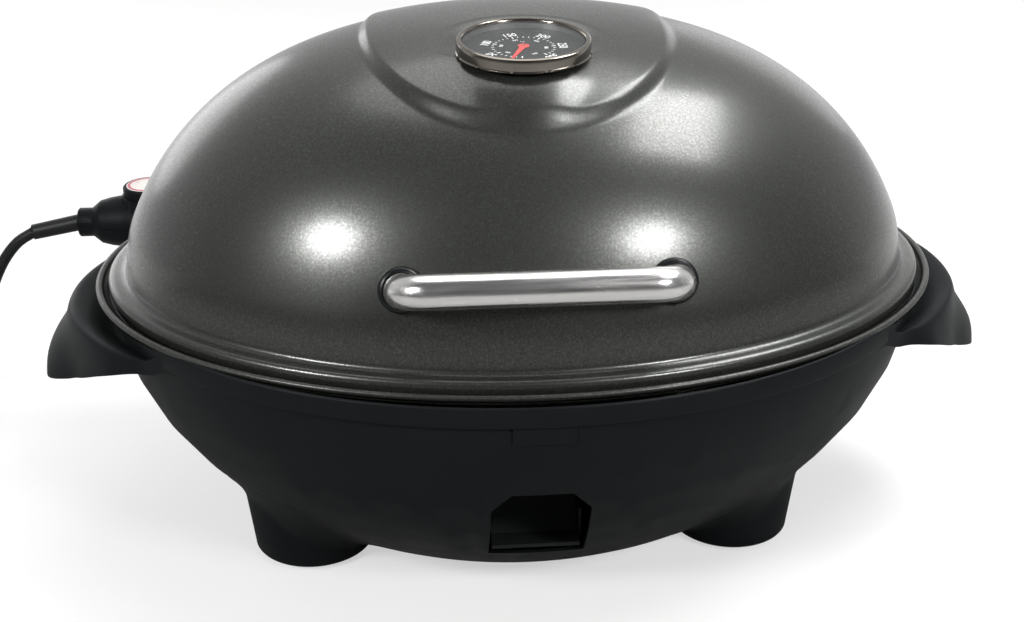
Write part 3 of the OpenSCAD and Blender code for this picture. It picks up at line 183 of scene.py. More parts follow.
def place(obj, matrix):
    """Move a piece and put the move into its mesh."""
    obj.matrix_world = matrix
    settle(obj)


def smooth(obj, angle=35):
    """Shade smooth, with edges sharper than the angle kept."""
    take(obj)
    bpy.ops.object.shade_smooth_by_angle(angle=math.radians(angle))


def press(obj, kind, **facts):
    """Add a modifier and apply it."""
    take(obj)
    mod = obj.modifiers.new(kind.title(), kind)
    for key, value in facts.items():
        setattr(mod, key, value)
    bpy.ops.object.modifier_apply(modifier=mod.name)


def open_up(obj):
    """Go into edit mode with all of a piece's mesh selected."""
    take(obj)
    bpy.ops.object.mode_set(mode="EDIT")
    bpy.ops.mesh.select_all(action="SELECT")


def close_up(obj, distance=2e-6):
    """Merge doubles and turn every face outwards."""
    open_up(obj)
    bpy.ops.mesh.remove_doubles(threshold=distance)
    bpy.ops.mesh.normals_make_consistent(inside=False)
    bpy.ops.object.mode_set(mode="OBJECT")


def turned(name, line, steps=96, k=1.0, closed=True):
    """Turn a line of (radius, height) about Z, ring by ring."""
    lay_off()
    points = [(max(r, 0.001) * MM, z * MM) for r, z in line]
    bpy.ops.mesh.primitive_circle_add(vertices=steps, radius=points[0][0], fill_type="NOTHING",
                                      location=(0, 0, points[0][1]))
    obj = bpy.context.object
    obj.name = name
    open_up(obj)
    for (ra, za), (rb, zb) in zip(points, points[1:]):
        bpy.ops.mesh.extrude_region_move(TRANSFORM_OT_translate={"value": (0, 0, zb - za)})
        if abs(rb - ra) > 1e-9:
            bpy.ops.transform.resize(value=(rb / ra, rb / ra, 1), center_override=(0, 0, 0))
    bpy.ops.object.mode_set(mode="OBJECT")
    settle(obj)
    if k != 1.0:
        obj.scale = (1, k, 1)
        settle(obj)
    if closed:
        close_up(obj, 3e-6)
    return obj


def block(name, low, high, round_off=0.0, segments=2):
    """A block between two corners, with rounded edges."""
    lay_off()
    bpy.ops.mesh.primitive_cube_add(size=1, location=[(a + b) / 2 * MM for a, b in zip(low, high)])
    obj = bpy.context.object
    obj.name = name
    obj.scale = [(b - a) * MM for a, b in zip(low, high)]
    settle(obj)
    if round_off:
        press(obj, "BEVEL", width=round_off * MM, segments=segments)
    return obj


def sheet(columns, rows):
    """A flat grid one unit wide, to be laid on a shape."""
    lay_off()
    bpy.ops.mesh.primitive_grid_add(x_subdivisions=columns, y_subdivisions=rows, size=1)
    return bpy.context.object


def join(name, parts):
    """Join pieces into one."""
    take(parts[0])
    for p in parts[1:]:
        p.select_set(True)
    if len(parts) > 1:
        bpy.ops.object.join()
    parts[0].name = name
    return parts[0]


def copy_of(node, name, merge=8e-6):
    """A merged copy of a CAD node's mesh."""
    source = frame["nodes"][node]
    obj = bpy.data.objects.new(name, source.data.copy())
    obj.data.name = name
    obj.data.materials.clear()
    bpy.context.scene.collection.objects.link(obj)
    open_up(obj)
    bpy.ops.mesh.remove_doubles(threshold=merge)
    bpy.ops.object.mode_set(mode="OBJECT")
    return obj


def keep_faces(obj, wanted):
    """Delete the faces whose middle isn't wanted."""
    take(obj)
    bpy.ops.object.mode_set(mode="EDIT")
    bpy.ops.mesh.select_mode(type="FACE")
    bpy.ops.mesh.select_all(action="DESELECT")
    bpy.ops.object.mode_set(mode="OBJECT")
    for p in obj.data.polygons:
        p.select = not wanted(*(c / MM for c in p.center))
    bpy.ops.object.mode_set(mode="EDIT")
    bpy.ops.mesh.delete(type="FACE")
    bpy.ops.mesh.select_mode(type="VERT")
    bpy.ops.object.mode_set(mode="OBJECT")


def spline(points, parts):
    """Points along a smooth line through the given ones."""
    out = []
    ends = [points[0] * 2 - points[1]] + points + [points[-1] * 2 - points[-2]]
    for a, b, c, d in zip(ends, ends[1:], ends[2:], ends[3:]):
        for i in range(parts):
            t = i / parts
            out.append(0.5 * ((2 * b) + (c - a) * t + (2 * a - 5 * b + 4 * c - d) * t ** 2
                              + (3 * b - a - 3 * c + d) * t ** 3))
    out.append(points[-1])
    return out


def tube(name, points, radius, sides):
    """A round tube along points in metres, with closed ends."""
    curve = bpy.data.curves.new(name, "CURVE")
    curve.dimensions = "3D"
    poly = curve.splines.new("POLY")
    poly.points.add(len(points) - 1)
    for point, p in zip(poly.points, points):
        point.co = (*p, 1)
    curve.bevel_depth = radius
    curve.bevel_resolution = sides
    curve.use_fill_caps = True
    obj = bpy.data.objects.new(name, curve)
    bpy.context.scene.collection.objects.link(obj)
    return obj


def numeral(words, size, radius, angle, face, narrow):
    """A printed number facing outwards from a dial's centre."""
    lay_off()
    bpy.ops.object.text_add()
    text = bpy.context.object
    text.data.body = words
    text.data.size = size * MM
    text.data.align_x, text.data.align_y = "CENTER", "CENTER"
    text.data.extrude = PRINT / 2 * MM
    text.data.offset = 0.01 * MM * size / 7.2
    text.data.resolution_u = 3
    bpy.ops.object.convert(target="MESH")
    text = bpy.context.object
    a = math.radians(angle)
    spot = (radius * math.cos(a) * MM, radius * math.sin(a) * MM, (face + PRINT / 2) * MM)
    text.data.transform(Matrix.Translation(spot) @ Matrix.Rotation(a - math.pi / 2, 4, "Z")
                        @ Matrix.Diagonal((narrow, 1, 1, 1)))
    return text


def softened(node, name, angle=32, edge=0.0):
    """A copy of a CAD node with broken edges and smooth shading."""
    obj = copy_of(node, name)
    if edge:
        press(obj, "BEVEL", width=edge * MM, segments=2, limit_method="ANGLE",
              angle_limit=math.radians(40), use_clamp_overlap=True, harden_normals=False)
    smooth(obj, angle)
    return obj


def fit_out(obj, body, slot, material, *nodes):
    """Give a finished piece its material, its body and the nodes it stands for."""
    obj.data.materials.clear()
    obj.data.materials.append(material)
    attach(obj, body)
    if nodes:
        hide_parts(*nodes)
    return obj


# ------------------------------------------------------------------ materials
def new_material(name):
    """A material with its node tree and its shader."""
    mat = bpy.data.materials.new(name)
    mat.use_nodes = True
    tree = mat.node_tree
    return mat, tree, tree.nodes["Principled BSDF"]


def wire(tree, source, out, target, into):
    """Link a node's output to another node's input."""
    tree.links.new(source.outputs[out], target.inputs[into])


def tune(node, **values):
    """Set a node's inputs, named with underscores for spaces."""
    for key, value in values.items():
        node.inputs[key.replace("_", " ")].default_value = value


def noise_node(tree, scale, detail=2.0, stretch=None):
    """Noise on the piece's own coordinates, with stretched ones for a grain."""
    coord = tree.nodes.new("ShaderNodeTexCoord")
    noise = tree.nodes.new("ShaderNodeTexNoise")
    tune(noise, Scale=scale, Detail=detail)
    if stretch:
        mapping = tree.nodes.new("ShaderNodeMapping")
        tune(mapping, Scale=stretch)
        wire(tree, coord, "Object", mapping, "Vector")
        wire(tree, mapping, "Vector", noise, "Vector")
    else:
        wire(tree, coord, "Object", noise, "Vector")
    return noise


def ramp_node(tree, source, stops, out="Fac"):
    """A colour ramp with the given stops, driven by another node."""
    ramp = tree.nodes.new("ShaderNodeValToRGB")
    while len(ramp.color_ramp.elements) < len(stops):
        ramp.color_ramp.elements.new(0.5)
    for element, (at, colour) in zip(ramp.color_ramp.elements, stops):
        element.position = at
        element.color = (*colour, 1.0)
    wire(tree, source, out, ramp, "Fac")
    return ramp


def bump_node(tree, height, distance, strength=1.0, under=None):
    """A bump from a noise, over another bump if given."""
    bump = tree.nodes.new("ShaderNodeBump")
    tune(bump, Distance=distance, Strength=strength)
    wire(tree, height, "Fac", bump, "Height")
    if under:
        wire(tree, under, "Normal", bump, "Normal")
    return bump


def depth_node(tree, space, *limits):
    """How far back a point lies, mapped from one pair of limits to another."""
    coord = tree.nodes.new("ShaderNodeTexCoord")
    apart = tree.nodes.new("ShaderNodeSeparateXYZ")
    depth = tree.nodes.new("ShaderNodeMapRange")
    for key, value in zip(("From Min", "From Max", "To Min", "To Max"), limits):
        depth.inputs[key].default_value = value
    wire(tree, coord, space, apart, "Vector")
    wire(tree, apart, "Y", depth, "Value")
    return depth


def multiply_node(tree):
    """A node that multiplies two colours, in full unless its factor is wired."""
    mix = tree.nodes.new("ShaderNodeMix")
    mix.data_type, mix.blend_type = "RGBA", "MULTIPLY"
    tune(mix, Factor=1.0)
    return mix


def grey(v):
    """A neutral colour."""
    return (v, v, v)


def shade(colour, f):
    """A colour made darker or lighter."""
    return tuple(min(1.0, c * f) for c in colour)


def speckled_paint(name, colour, rough=0.33, coat=0.6, grain=1100.0, metal=0.5):
    """Metallic paint with a fine speckle and a slight orange peel."""
    mat, tree, bsdf = new_material(name)
    speck = noise_node(tree, grain, 3.0)
    cloud = noise_node(tree, 14.0, 2.0)
    peel = noise_node(tree, 260.0, 2.0)
    ramp = ramp_node(tree, speck, [(0.30, shade(colour, 0.6)), (0.50, colour),
                                   (0.62, shade(colour, 1.3)), (0.72, shade(colour, 2.6))])
    tint = ramp_node(tree, cloud, [(0.3, grey(0.90)), (0.7, grey(1.0))])
    mix = multiply_node(tree)
    wire(tree, ramp, "Color", mix, "A")
    wire(tree, tint, "Color", mix, "B")
    wire(tree, mix, "Result", bsdf, "Base Color")
    gloss = ramp_node(tree, speck, [(0.35, grey(rough + 0.08)), (0.7, grey(rough - 0.06))])
    wire(tree, gloss, "Color", bsdf, "Roughness")
    fine = bump_node(tree, speck, 0.00007, 0.4)
    soft = bump_node(tree, peel, 0.00005, 0.35, fine)
    wire(tree, soft, "Normal", bsdf, "Normal")
    tune(bsdf, Metallic=metal, Coat_Weight=coat, Coat_Roughness=0.2)
    return mat


def moulded_plastic(name, colour, rough=0.5, grain=1400.0, bump=0.00006, shine=0.26):
    """Moulded plastic with a fine spark-eroded grain and faint handling marks."""
    mat, tree, bsdf = new_material(name)
    fine = noise_node(tree, grain, 2.0)
    cloud = noise_node(tree, 22.0, 3.0)
    ramp = ramp_node(tree, cloud, [(0.3, shade(colour, 0.88)), (0.7, shade(colour, 1.14))])
    wire(tree, ramp, "Color", bsdf, "Base Color")
    gloss = ramp_node(tree, cloud, [(0.3, grey(rough - 0.05)), (0.7, grey(rough + 0.05))])
    wire(tree, gloss, "Color", bsdf, "Roughness")
    wire(tree, bump_node(tree, fine, bump, 0.6), "Normal", bsdf, "Normal")
    tune(bsdf, Specular_IOR_Level=shine)
    return mat


def bare_metal(name, colour, rough, stretch=(1, 1, 1), grain=600.0, bump=0.00002, spread=0.06):
    """Metal with a fine grain along one direction."""
    mat, tree, bsdf = new_material(name)
    line = noise_node(tree, grain, 2.0, stretch)
    ramp = ramp_node(tree, line, [(0.3, shade(colour, 0.93)), (0.7, shade(colour, 1.05))])
    wire(tree, ramp, "Color", bsdf, "Base Color")
    gloss = ramp_node(tree, line, [(0.3, grey(max(0.02, rough - spread))), (0.7, grey(rough + spread))])
    wire(tree, gloss, "Color", bsdf, "Roughness")
    wire(tree, bump_node(tree, line, bump, 0.5), "Normal", bsdf, "Normal")
    tune(bsdf, Metallic=1.0)
    return mat


def clear_glass(name):
    """Thin flat glass: mostly see-through, with a faint reflection."""
    mat, tree, bsdf = new_material(name)
    smear = noise_node(tree, 60.0, 2.0)
    gloss = ramp_node(tree, smear, [(0.3, grey(0.02)), (0.8, grey(0.09))])
    wire(tree, gloss, "Color", bsdf, "Roughness")
    tune(bsdf, Base_Color=(0.95, 0.97, 0.97, 1), Alpha=0.035, Specular_IOR_Level=0.9)
    return mat


FINISHES = {}


def make_finishes():
    """Fill FINISHES with every material by its slot's name."""
    c = bpy.context.scene.grill_colours
    lid, base, red = tuple(c.lid_paint), tuple(c.base_plastic), tuple(c.needle_red)
    FINISHES.update({
        "graphite_paint": speckled_paint("Graphite paint", lid, grain=820.0),
        "nonstick": speckled_paint("Speckled non-stick coat", shade(lid, 0.9), 0.42, 0.25, 700.0, 0.35),
        "black_plastic": moulded_plastic("Bluish black plastic", base, 0.46, shine=0.10),
        "tray_plastic": moulded_plastic("Dark grey tray plastic", (0.0085, 0.0095, 0.0100), 0.5),
        "glossy_plastic": moulded_plastic("Black bezel plastic", shade(base, 0.7), 0.3, 900.0, 0.00003),
        "black_rubber": moulded_plastic("Black cord rubber", (0.011, 0.0115, 0.012), 0.46, 1000.0, 0.00008),
        "switch_board": moulded_plastic("Brown phenolic", (0.09, 0.045, 0.02), 0.45),
        "ceramic": moulded_plastic("Glazed ceramic", (0.72, 0.69, 0.62), 0.22, 500.0, 0.00002),
        "dial_disc": moulded_plastic("Pale dial disc", (0.58, 0.55, 0.52), 0.3, 800.0, 0.00002),
        "dial_rose": moulded_plastic("Rose dial print", (0.42, 0.10, 0.13), 0.35, 800.0, 0.00001),
        "dial_face": moulded_plastic("Black dial face", (0.006, 0.0065, 0.007), 0.5, 900.0, 0.00002, 0.1),
        "dial_print": moulded_plastic("White dial print", (0.78, 0.79, 0.78), 0.5, 900.0, 0.00001),
        "red_needle": moulded_plastic("Needle red paint", red, 0.38, 500.0, 0.00002),
        "chrome": bare_metal("Polished steel", (0.86, 0.845, 0.83), 0.23, (0.05, 1, 1), 420.0, 0.00003,
                             0.06),
        "warm_steel": bare_metal("Warm brushed steel", (0.25, 0.226, 0.198), 0.17, (1, 1, 6), 300.0,
                                 0.000006, 0.03),
        "zinc_steel": bare_metal("Zinc-plated steel", (0.60, 0.61, 0.62), 0.34, grain=420.0, bump=0.00003),
        "element_steel": bare_metal("Heat-darkened steel", (0.20, 0.17, 0.15), 0.45, grain=240.0,
                                    bump=0.00006),
        "brass": bare_metal("Plain brass", (0.75, 0.56, 0.27), 0.28, grain=500.0, bump=0.00003),
        "clear_glass": clear_glass("Gauge glass"),
    })


# ------------------------------------------------------------------ lid shape
def dome_z(r):
    """Height of the dome over a radius along its long axis."""
    q = min(r / DOME_R, 0.9999999)
    return DOME_LOW + DOME_SPAN * (1 - q ** DOME_BEND) ** (1 / DOME_BEND)


def dome_r(z):
    """Radius of the dome at a height, easing into the upright wall at its foot."""
    t = (z - DOME_LOW) / DOME_SPAN
    curve = DOME_R * max(1 - t ** DOME_BEND, 0) ** (1 / DOME_BEND)
    h = min(max(0.5 + 0.5 * (curve - DOME_WALL_R) / DOME_WALL_BLEND, 0.0), 1.0)
    return curve * (1 - h) + DOME_WALL_R * h - DOME_WALL_BLEND * h * (1 - h)


def ease(t):
    """A smooth step from 0 to 1."""
    t = min(max(t, 0.0), 1.0)
    return t * t * (3 - 2 * t)


def press_top(obj):
    """Raise the oval crown and level the thermometer's seat, both with soft edges."""
    s = bpy.context.scene.grill_lid
    rise, edge, blend = s.crown_rise / MM, s.crown_edge / MM, s.pad_blend / MM
    for v in obj.data.vertices:
        x, y, z = (c / MM for c in v.co)
        if z < CROWN_LOW:
            continue
        out = ((abs(x) / CROWN_RX) ** CROWN_BEND + (abs(y) / CROWN_RY) ** CROWN_BEND) ** (1 / CROWN_BEND)
        reach = math.hypot(x, y) / max(out, 1e-4) if out > 0.05 else 100
        step = rise + s.crown_front / MM * ease((-y - CROWN_FRONT) / CROWN_FRONT_RUN)
        far = math.hypot(x, y - GAUGE_Y)
        seat = GAUGE_Z - 0.2 + (y - GAUGE_Y) * math.tan(math.radians(GAUGE_TILT))
        pad = seat - step - s.pad_gap / MM - max(far - PAD_R, 0.0) ** 2 / PAD_FALL
        z = 0.5 * (z + pad + math.sqrt((z - pad) ** 2 + PAD_SOFT))
        z += step * ease(((1 - out) * reach + edge / 2) / edge)
        hold = 1 - ease((far - SEAT_R) / blend)
        v.co.z = (z - max(z - seat, 0.0) * hold) * MM


def gauge_matrix():
    """The thermometer's place and lean."""
    return (Matrix.Translation((0, GAUGE_Y * MM, GAUGE_Z * MM))
            @ Matrix.Rotation(math.radians(GAUGE_TILT), 4, "X"))


def seat_on_dome(x, z):
    """The y of the dome's front at x and a height."""
    return -PLATE_K * math.sqrt(dome_r(z) ** 2 - x * x)


def handle_matrix():
    """The handle's place and lean on the dome's front."""
    return (Matrix.Translation((0, seat_on_dome(LEG_X, HANDLE_Z) * MM, HANDLE_Z * MM))
            @ Matrix.Rotation(math.radians(-HANDLE_TILT), 4, "X"))


# ------------------------------------------------------------------ base shape
def bowl_height(r):
    """Height of the bowl's skin at a radius along its long axis."""
    return max(BOWL_FLOOR, BOWL_TOP - BOWL_DROP * max(1 - (r / BOWL_RX) ** BOWL_BEND, 0) ** (1 / BOWL_BEND))


def bowl_radius(z):
    """Radius of the bowl's skin along its long axis at a height."""
    return BOWL_RX * (1 - ((BOWL_TOP - z) / BOWL_DROP) ** BOWL_BEND) ** (1 / BOWL_BEND)


def leg_line(x, y, angle):
    """Distance and height of a leg's skin, from under its foot up into the bowl, at an angle."""
    c, s = math.cos(angle), math.sin(angle)

    def skin(d):
        """Height of the bowl at a distance from the leg's middle."""
        return bowl_height(math.hypot(x + d * c, (y + d * s) / FRAME_K))

    def wall(z):
        """Radius of the leg at a height."""
        return LEG_R + LEG_FLARE * (z - LEG_FOOT)

    low, high = LEG_FOOT, 110.0
    for _ in range(30):
        mid = 0.5 * (low + high)
        low, high = (mid, high) if skin(wall(mid)) > mid else (low, mid)
    meet, d = low, wall(low)
    soft = LEG_FILLET + LEG_FILLET_MORE * (1 - ease(max(c * math.copysign(1, x), 0.0) * 1.15))
    down = min(soft, 0.6 * (meet - 4.0))
    along = min(1.25 * soft, (FOOT_Y - 1.0) / max(-s * math.copysign(1, y), 0.01) - d)
    end = d + along
    slope = skin(end + 0.5) - skin(end - 0.5)
    start = (wall(meet - down), meet - down)
    turn, stop = (d, skin(end) - slope * along), (end, skin(end) - 0.03)
    line = [(30.0, LEG_FOOT), (LEG_R - 1.6, LEG_FOOT), (LEG_R - 0.4, 3.1), (LEG_R + 0.2, 4.0)]
    line += [(wall(4.0 + (start[1] - 4.0) * i / 3), 4.0 + (start[1] - 4.0) * i / 3) for i in (1, 2)]
    for i in range(10):
        t = i / 9
        line.append(tuple((1 - t) ** 2 * a + 2 * t * (1 - t) * b + t * t * e
                          for a, b, e in zip(start, turn, stop)))
    return line + [(end + 1.0, skin(end + 1.0) + 1.0)]


def oval_reach(angle, rx, ry):
    """Distance from a grip's centre to an oval, looking out at an angle."""
    c, s = math.cos(angle), math.sin(angle)
    a = (c / rx) ** 2 + (s / ry) ** 2
    b = 2 * GRIP_CX * c / rx ** 2
    q = (GRIP_CX / rx) ** 2 - 1
    return (-b + math.sqrt(b * b - 4 * a * q)) / (2 * a)


# A grip's section: how far out from the crest and how far down, plain and at the finger tongue
GRIP_WALL = [(0.0, 0.0), (1.9, -1.1), (3.4, -4.0), (4.3, -8.5), (5.2, -13.5), (6.3, -18.5), (7.3, -23.5),
             (8.1, -28.0), (8.5, -31.0)]
GRIP_TONGUE = [(0.0, 0.0), (2.2, -1.2), (3.9, -4.0), (5.0, -8.5), (7.4, -14.0), (11.8, -20.5), (17.0, -27.5),
               (20.6, -36.0), (21.8, -47.0)]
GRIP_DISH = [(1.0, -9.4), (0.84, -9.0), (0.68, -7.2), (0.50, -4.2), (0.32, -1.7), (0.14, -0.35)]


def grip_point(angle, row):
    """A point of a grip's outer surface: its radius from the grip's centre and its height."""
    inner = oval_reach(angle, BOWL_RX - 1.2, (BOWL_RX - 1.2) * FRAME_K)
    skin = oval_reach(angle, FRAME_RX, FRAME_RX * FRAME_K) + 0.5
    merge = ease((skin - GRIP_R - 1.5) / 9.0)
    top = GRIP_TOP + (BAND_TOP - 0.7 - GRIP_TOP) * merge
    inner += (skin - 2.4 - inner) * merge
    crest = 0.5 * (GRIP_R + skin + math.sqrt((GRIP_R - skin) ** 2 + 52.0)) - 2.2 * merge
    span = crest - inner
    y0 = crest * math.sin(angle)
    lift = max(0.0, abs(y0) - GRIP_LIFT_Y)
    foot = GRIP_FOOT + GRIP_LIFT * ease(lift / GRIP_LIFT_RUN) + 6.5 * merge
    wide = 1 - ease((abs(math.degrees(angle)) - TONGUE_HALF) / TONGUE_FADE)
    drop = (top - foot) / -GRIP_WALL[-1][1]
    if row < len(GRIP_DISH):
        out, down = GRIP_DISH[row]
        return crest - span * out, top + down * ease((crest - skin) / 20.0)
    (ax, az), (bx, bz) = GRIP_WALL[row - len(GRIP_DISH)], GRIP_TONGUE[row - len(GRIP_DISH)]
    near = ease((skin + 9.0 - GRIP_R) / 12.0)
    ax *= 1 - near
    return crest + ax * (1 - wide) + bx * wide, top + (az * drop) * (1 - wide) + bz * wide


# ------------------------------------------------------------------ controller and small nodes
# Distance along the controller's barrel and what is added to its radius
BARREL_SWELL = [(50.0, 0.0), (62.0, 0.3), (71.0, 1.5), (78.0, 3.0), (84.0, 0.0)]
# Nodes that keep their own mesh: the piece's name, its smoothing angle and the width of its edges
SOFTENED = {
    "grease_tray": ("grease_tray_box", 32, 0.0),
    "controller_lower": ("controller_lower_shell", 32, 0.0),
    "controller_upper": ("controller_upper_shell", 32, 0.0),
    "controller_nose": ("controller_nose_plug", 32, 0.25),
    "dial_knob": ("dial_knob_cap", 32, 0.3),
    "strain_relief": ("cord_strain_relief", 40, 0.0),
    "rubber_feet": ("rubber_foot_pads", 32, 0.4),
    "thermometer_dial": ("thermometer_dial_plate", 32, 0.0),
    "thermometer_needle": ("thermometer_hand", 32, 0.12),
}


# ------------------------------------------------------------------ operators
class GRILL_OT_stage(bpy.types.Operator):
    """Sets the camera, the plain floor, the room and the lamps"""

    bl_idname = "grill.stage"
    bl_label = "Stage"

    def execute(self, context):
        self.camera(context.scene)
        self.floor(context.scene)
        self.room(context.scene)
        self.lamps(context.scene)
        context.scene.view_settings.view_transform = "Standard"
        return {"FINISHED"}

    def camera(self, scene):
        """Place the camera."""
        cam = bpy.data.objects.new("Camera", bpy.data.cameras.new("Camera"))
        scene.collection.objects.link(cam)
        cam.data.sensor_width = CAMERA_SENSOR
        cam.data.lens = CAMERA_LENS
        cam.data.clip_start, cam.data.clip_end = 0.02, 40.0
        turn = (Matrix.Rotation(CAMERA_YAW, 4, "Z") @ Matrix.Rotation(math.pi / 2 - CAMERA_PITCH, 4, "X")
                @ Matrix.Rotation(CAMERA_ROLL, 4, "Z"))
        cam.matrix_world = Matrix.Translation(CAMERA_PLACE) @ turn
        scene.camera = cam

    def floor(self, scene):
        """Lay the pale floor, brighter to the camera and behind the object."""
        lay_off()
        bpy.ops.mesh.primitive_plane_add(size=14)
        floor = bpy.context.object
        floor.name = "studio_floor"
        mat, tree, bsdf = new_material("Pale studio floor")
        paper = noise_node(tree, 30.0, 3.0)
        c = tuple(scene.grill_colours.floor)
        ramp = ramp_node(tree, paper, [(0.3, shade(c, 0.985)), (0.7, c)])
        dim = multiply_node(tree)
        tune(dim, B=(0.75, 0.75, 0.75, 1))
        wire(tree, ramp, "Color", dim, "A")
        wire(tree, dim, "Result", bsdf, "Base Color")
        tune(bsdf, Roughness=0.75, Emission_Color=(1, 1, 1, 1))
        path = tree.nodes.new("ShaderNodeLightPath")
        glow = tree.nodes.new("ShaderNodeMath")
        glow.operation = "MULTIPLY"
        glow.inputs[1].default_value = 0.55
        wire(tree, path, "Is Camera Ray", glow, 0)
        wire(tree, path, "Is Glossy Ray", dim, "Factor")
        # Bright paper behind the object, for the reflections along the lid's sides
        behind = depth_node(tree, "Object", 0.10, 0.55, 0.0, 0.62)
        both = tree.nodes.new("ShaderNodeMath")
        both.operation = "MULTIPLY_ADD"
        wire(tree, behind, "Result", both, 0)
        wire(tree, path, "Is Glossy Ray", both, 1)
        wire(tree, glow, "Value", both, 2)
        wire(tree, both, "Value", bsdf, "Emission Strength")
        floor.data.materials.append(mat)

    def room(self, scene):
        """Light the room: white to the camera, and bright behind the object for the rest."""
        world = bpy.data.worlds.new("Studio")
        scene.world = world
        world.use_nodes = True
        tree = world.node_tree
        back = tree.nodes["Background"]
        tune(back, Strength=0.62)
        # The wall behind the object is bright, and the room in front of it dim
        depth = depth_node(tree, "Generated", -1.0, 1.0)
        room = ramp_node(tree, depth, [(0.0, (0.12, 0.12, 0.125)), (0.42, (0.26, 0.26, 0.27)),
                                       (0.62, (0.78, 0.79, 0.80)), (1.0, (1.0, 1.0, 1.0))], "Result")
        wire(tree, room, "Color", back, "Color")
        seen = tree.nodes.new("ShaderNodeBackground")
        tune(seen, Color=(1, 1, 1, 1), Strength=1.0)
        path = tree.nodes.new("ShaderNodeLightPath")
        mix = tree.nodes.new("ShaderNodeMixShader")
        wire(tree, path, "Is Camera Ray", mix, "Fac")
        wire(tree, back, "Background", mix, 1)
        wire(tree, seen, "Background", mix, 2)
        wire(tree, mix, "Shader", tree.nodes["World Output"], "Surface")

    def lamps(self, scene):
        """Hang the softboxes."""
        aim = Vector(LAMP_AIM)
        for name, az, el, far, wide, high, watts in LAMPS:
            light = bpy.data.lights.new(name, "AREA")
            light.shape = "RECTANGLE" if name == "side softbox" else "ELLIPSE"
            light.size, light.size_y, light.energy = wide, high, watts
            a, e = math.radians(az), math.radians(el)
            way = Vector((math.sin(a) * math.cos(e), -math.cos(a) * math.cos(e), math.sin(e)))
            lamp = bpy.data.objects.new(name, light)
            face = way.to_track_quat("Z", "Y").to_matrix().to_4x4()
            lamp.matrix_world = Matrix.Translation(aim + way * far) @ face
            scene.collection.objects.link(lamp)


class GRILL_OT_cord(bpy.types.Operator):
    """Lays the mains cord, winds its spare length and ties the coil"""

    bl_idname = "grill.cord"
    bl_label = "Mains cord"

    def execute(self, context):
        s = context.scene.grill_cord
        drop = [(-336.37, 140, 142.01), (-348, 140, 135), (-358, 140, 124), (-366, 140, 111),
                (-375, 142, 92), (-384, 147, 70), (-394, 155, 47), (-407, 165, 27), (-422, 175, 13),
                (-438, 183, 6.5), (-454, 188, 4.4), (-468, 190, 4.2)]
        tail = [(-528, 122, 12.5), (-527, 104, 14), (-525, 86, 16.5), (-524, 68, 18)]
        near, far = s.coil_radius / MM - COIL_HALF_GAP, s.coil_radius / MM + COIL_HALF_GAP
        wound = []
        angle = COIL_START
        while angle <= COIL_END:
            # Outer low, inner low, inner high, outer high, with each change eased
            inward, upward, outward = (ease((angle - at) / COIL_EASE)
                                       for at in (COIL_INWARD, COIL_UPWARD, COIL_OUTWARD))
            rad = far + (near - far) * inward + (far - near) * outward
            z = COIL_LOW + (COIL_HIGH - COIL_LOW) * upward
            a = math.radians(angle)
            wound.append((COIL_X + rad * math.cos(a), COIL_Y + rad * math.sin(a), z))
            angle += COIL_PART
        line = spline([Vector(p) for p in drop + wound + tail], 3)
        cord = tube("mains_cord", [p * MM for p in line], s.diameter / 2, 4)
        cord.data.materials.append(FINISHES["black_rubber"])
        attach(cord, "controller")
        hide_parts("power_cord", "cord_coil")

        tie = block("coil_tie", (-482, 175.6, 0), (-474, 196.4, 17.4), 1.2, 2)
        hole = block("tie_hole", (-490, 177.0, 1.0), (-466, 195.0, 16.3), 0)
        press(tie, "BOOLEAN", operation="DIFFERENCE", object=hole, solver="EXACT")
        bpy.data.objects.remove(hole)
        smooth(tie, 40)
        fit_out(tie, "controller", "black_rubber", FINISHES["black_rubber"], "cord_tie")
        return {"FINISHED"}


class GRILL_OT_lid(bpy.types.Operator):
    """Spins the domed lid and presses its crown and thermometer seat"""

    bl_idname = "grill.lid"
    bl_label = "Lid"

    def execute(self, context):
        s = context.scene.grill_lid
        line = [(254.4, 166.8), (254.9, 167.3), (254.9, 171.4), (254.5, 172.9), (253.4, 174.0),
                (251.9, 174.6), (250.4, 174.8), (247.6, 175.0), (245.6, 175.4), (244.2, 176.2),
                (243.4, 177.4), (243.0, 179.0)]
        z = WALL_START
        while dome_r(z) > WALL_END_R:
            line.append((dome_r(z), z))
            z += WALL_STEP
        r = TOP_START_R
        while r > 1.0:
            line.append((r, dome_z(r)))
            r -= CROWN_STEP if CROWN_RINGS[0] < r < CROWN_RINGS[1] else TOP_STEP
        line.append((0.0, dome_z(0)))
        lid = turned("lid_dome", line, DOME_STEPS, PLATE_K)
        press_top(lid)
        press(lid, "SOLIDIFY", thickness=s.wall, offset=-1.0, use_even_offset=True)
        smooth(lid, 50)
        fit_out(lid, "lid", "graphite_paint", FINISHES["graphite_paint"], "lid_shell")
        return {"FINISHED"}


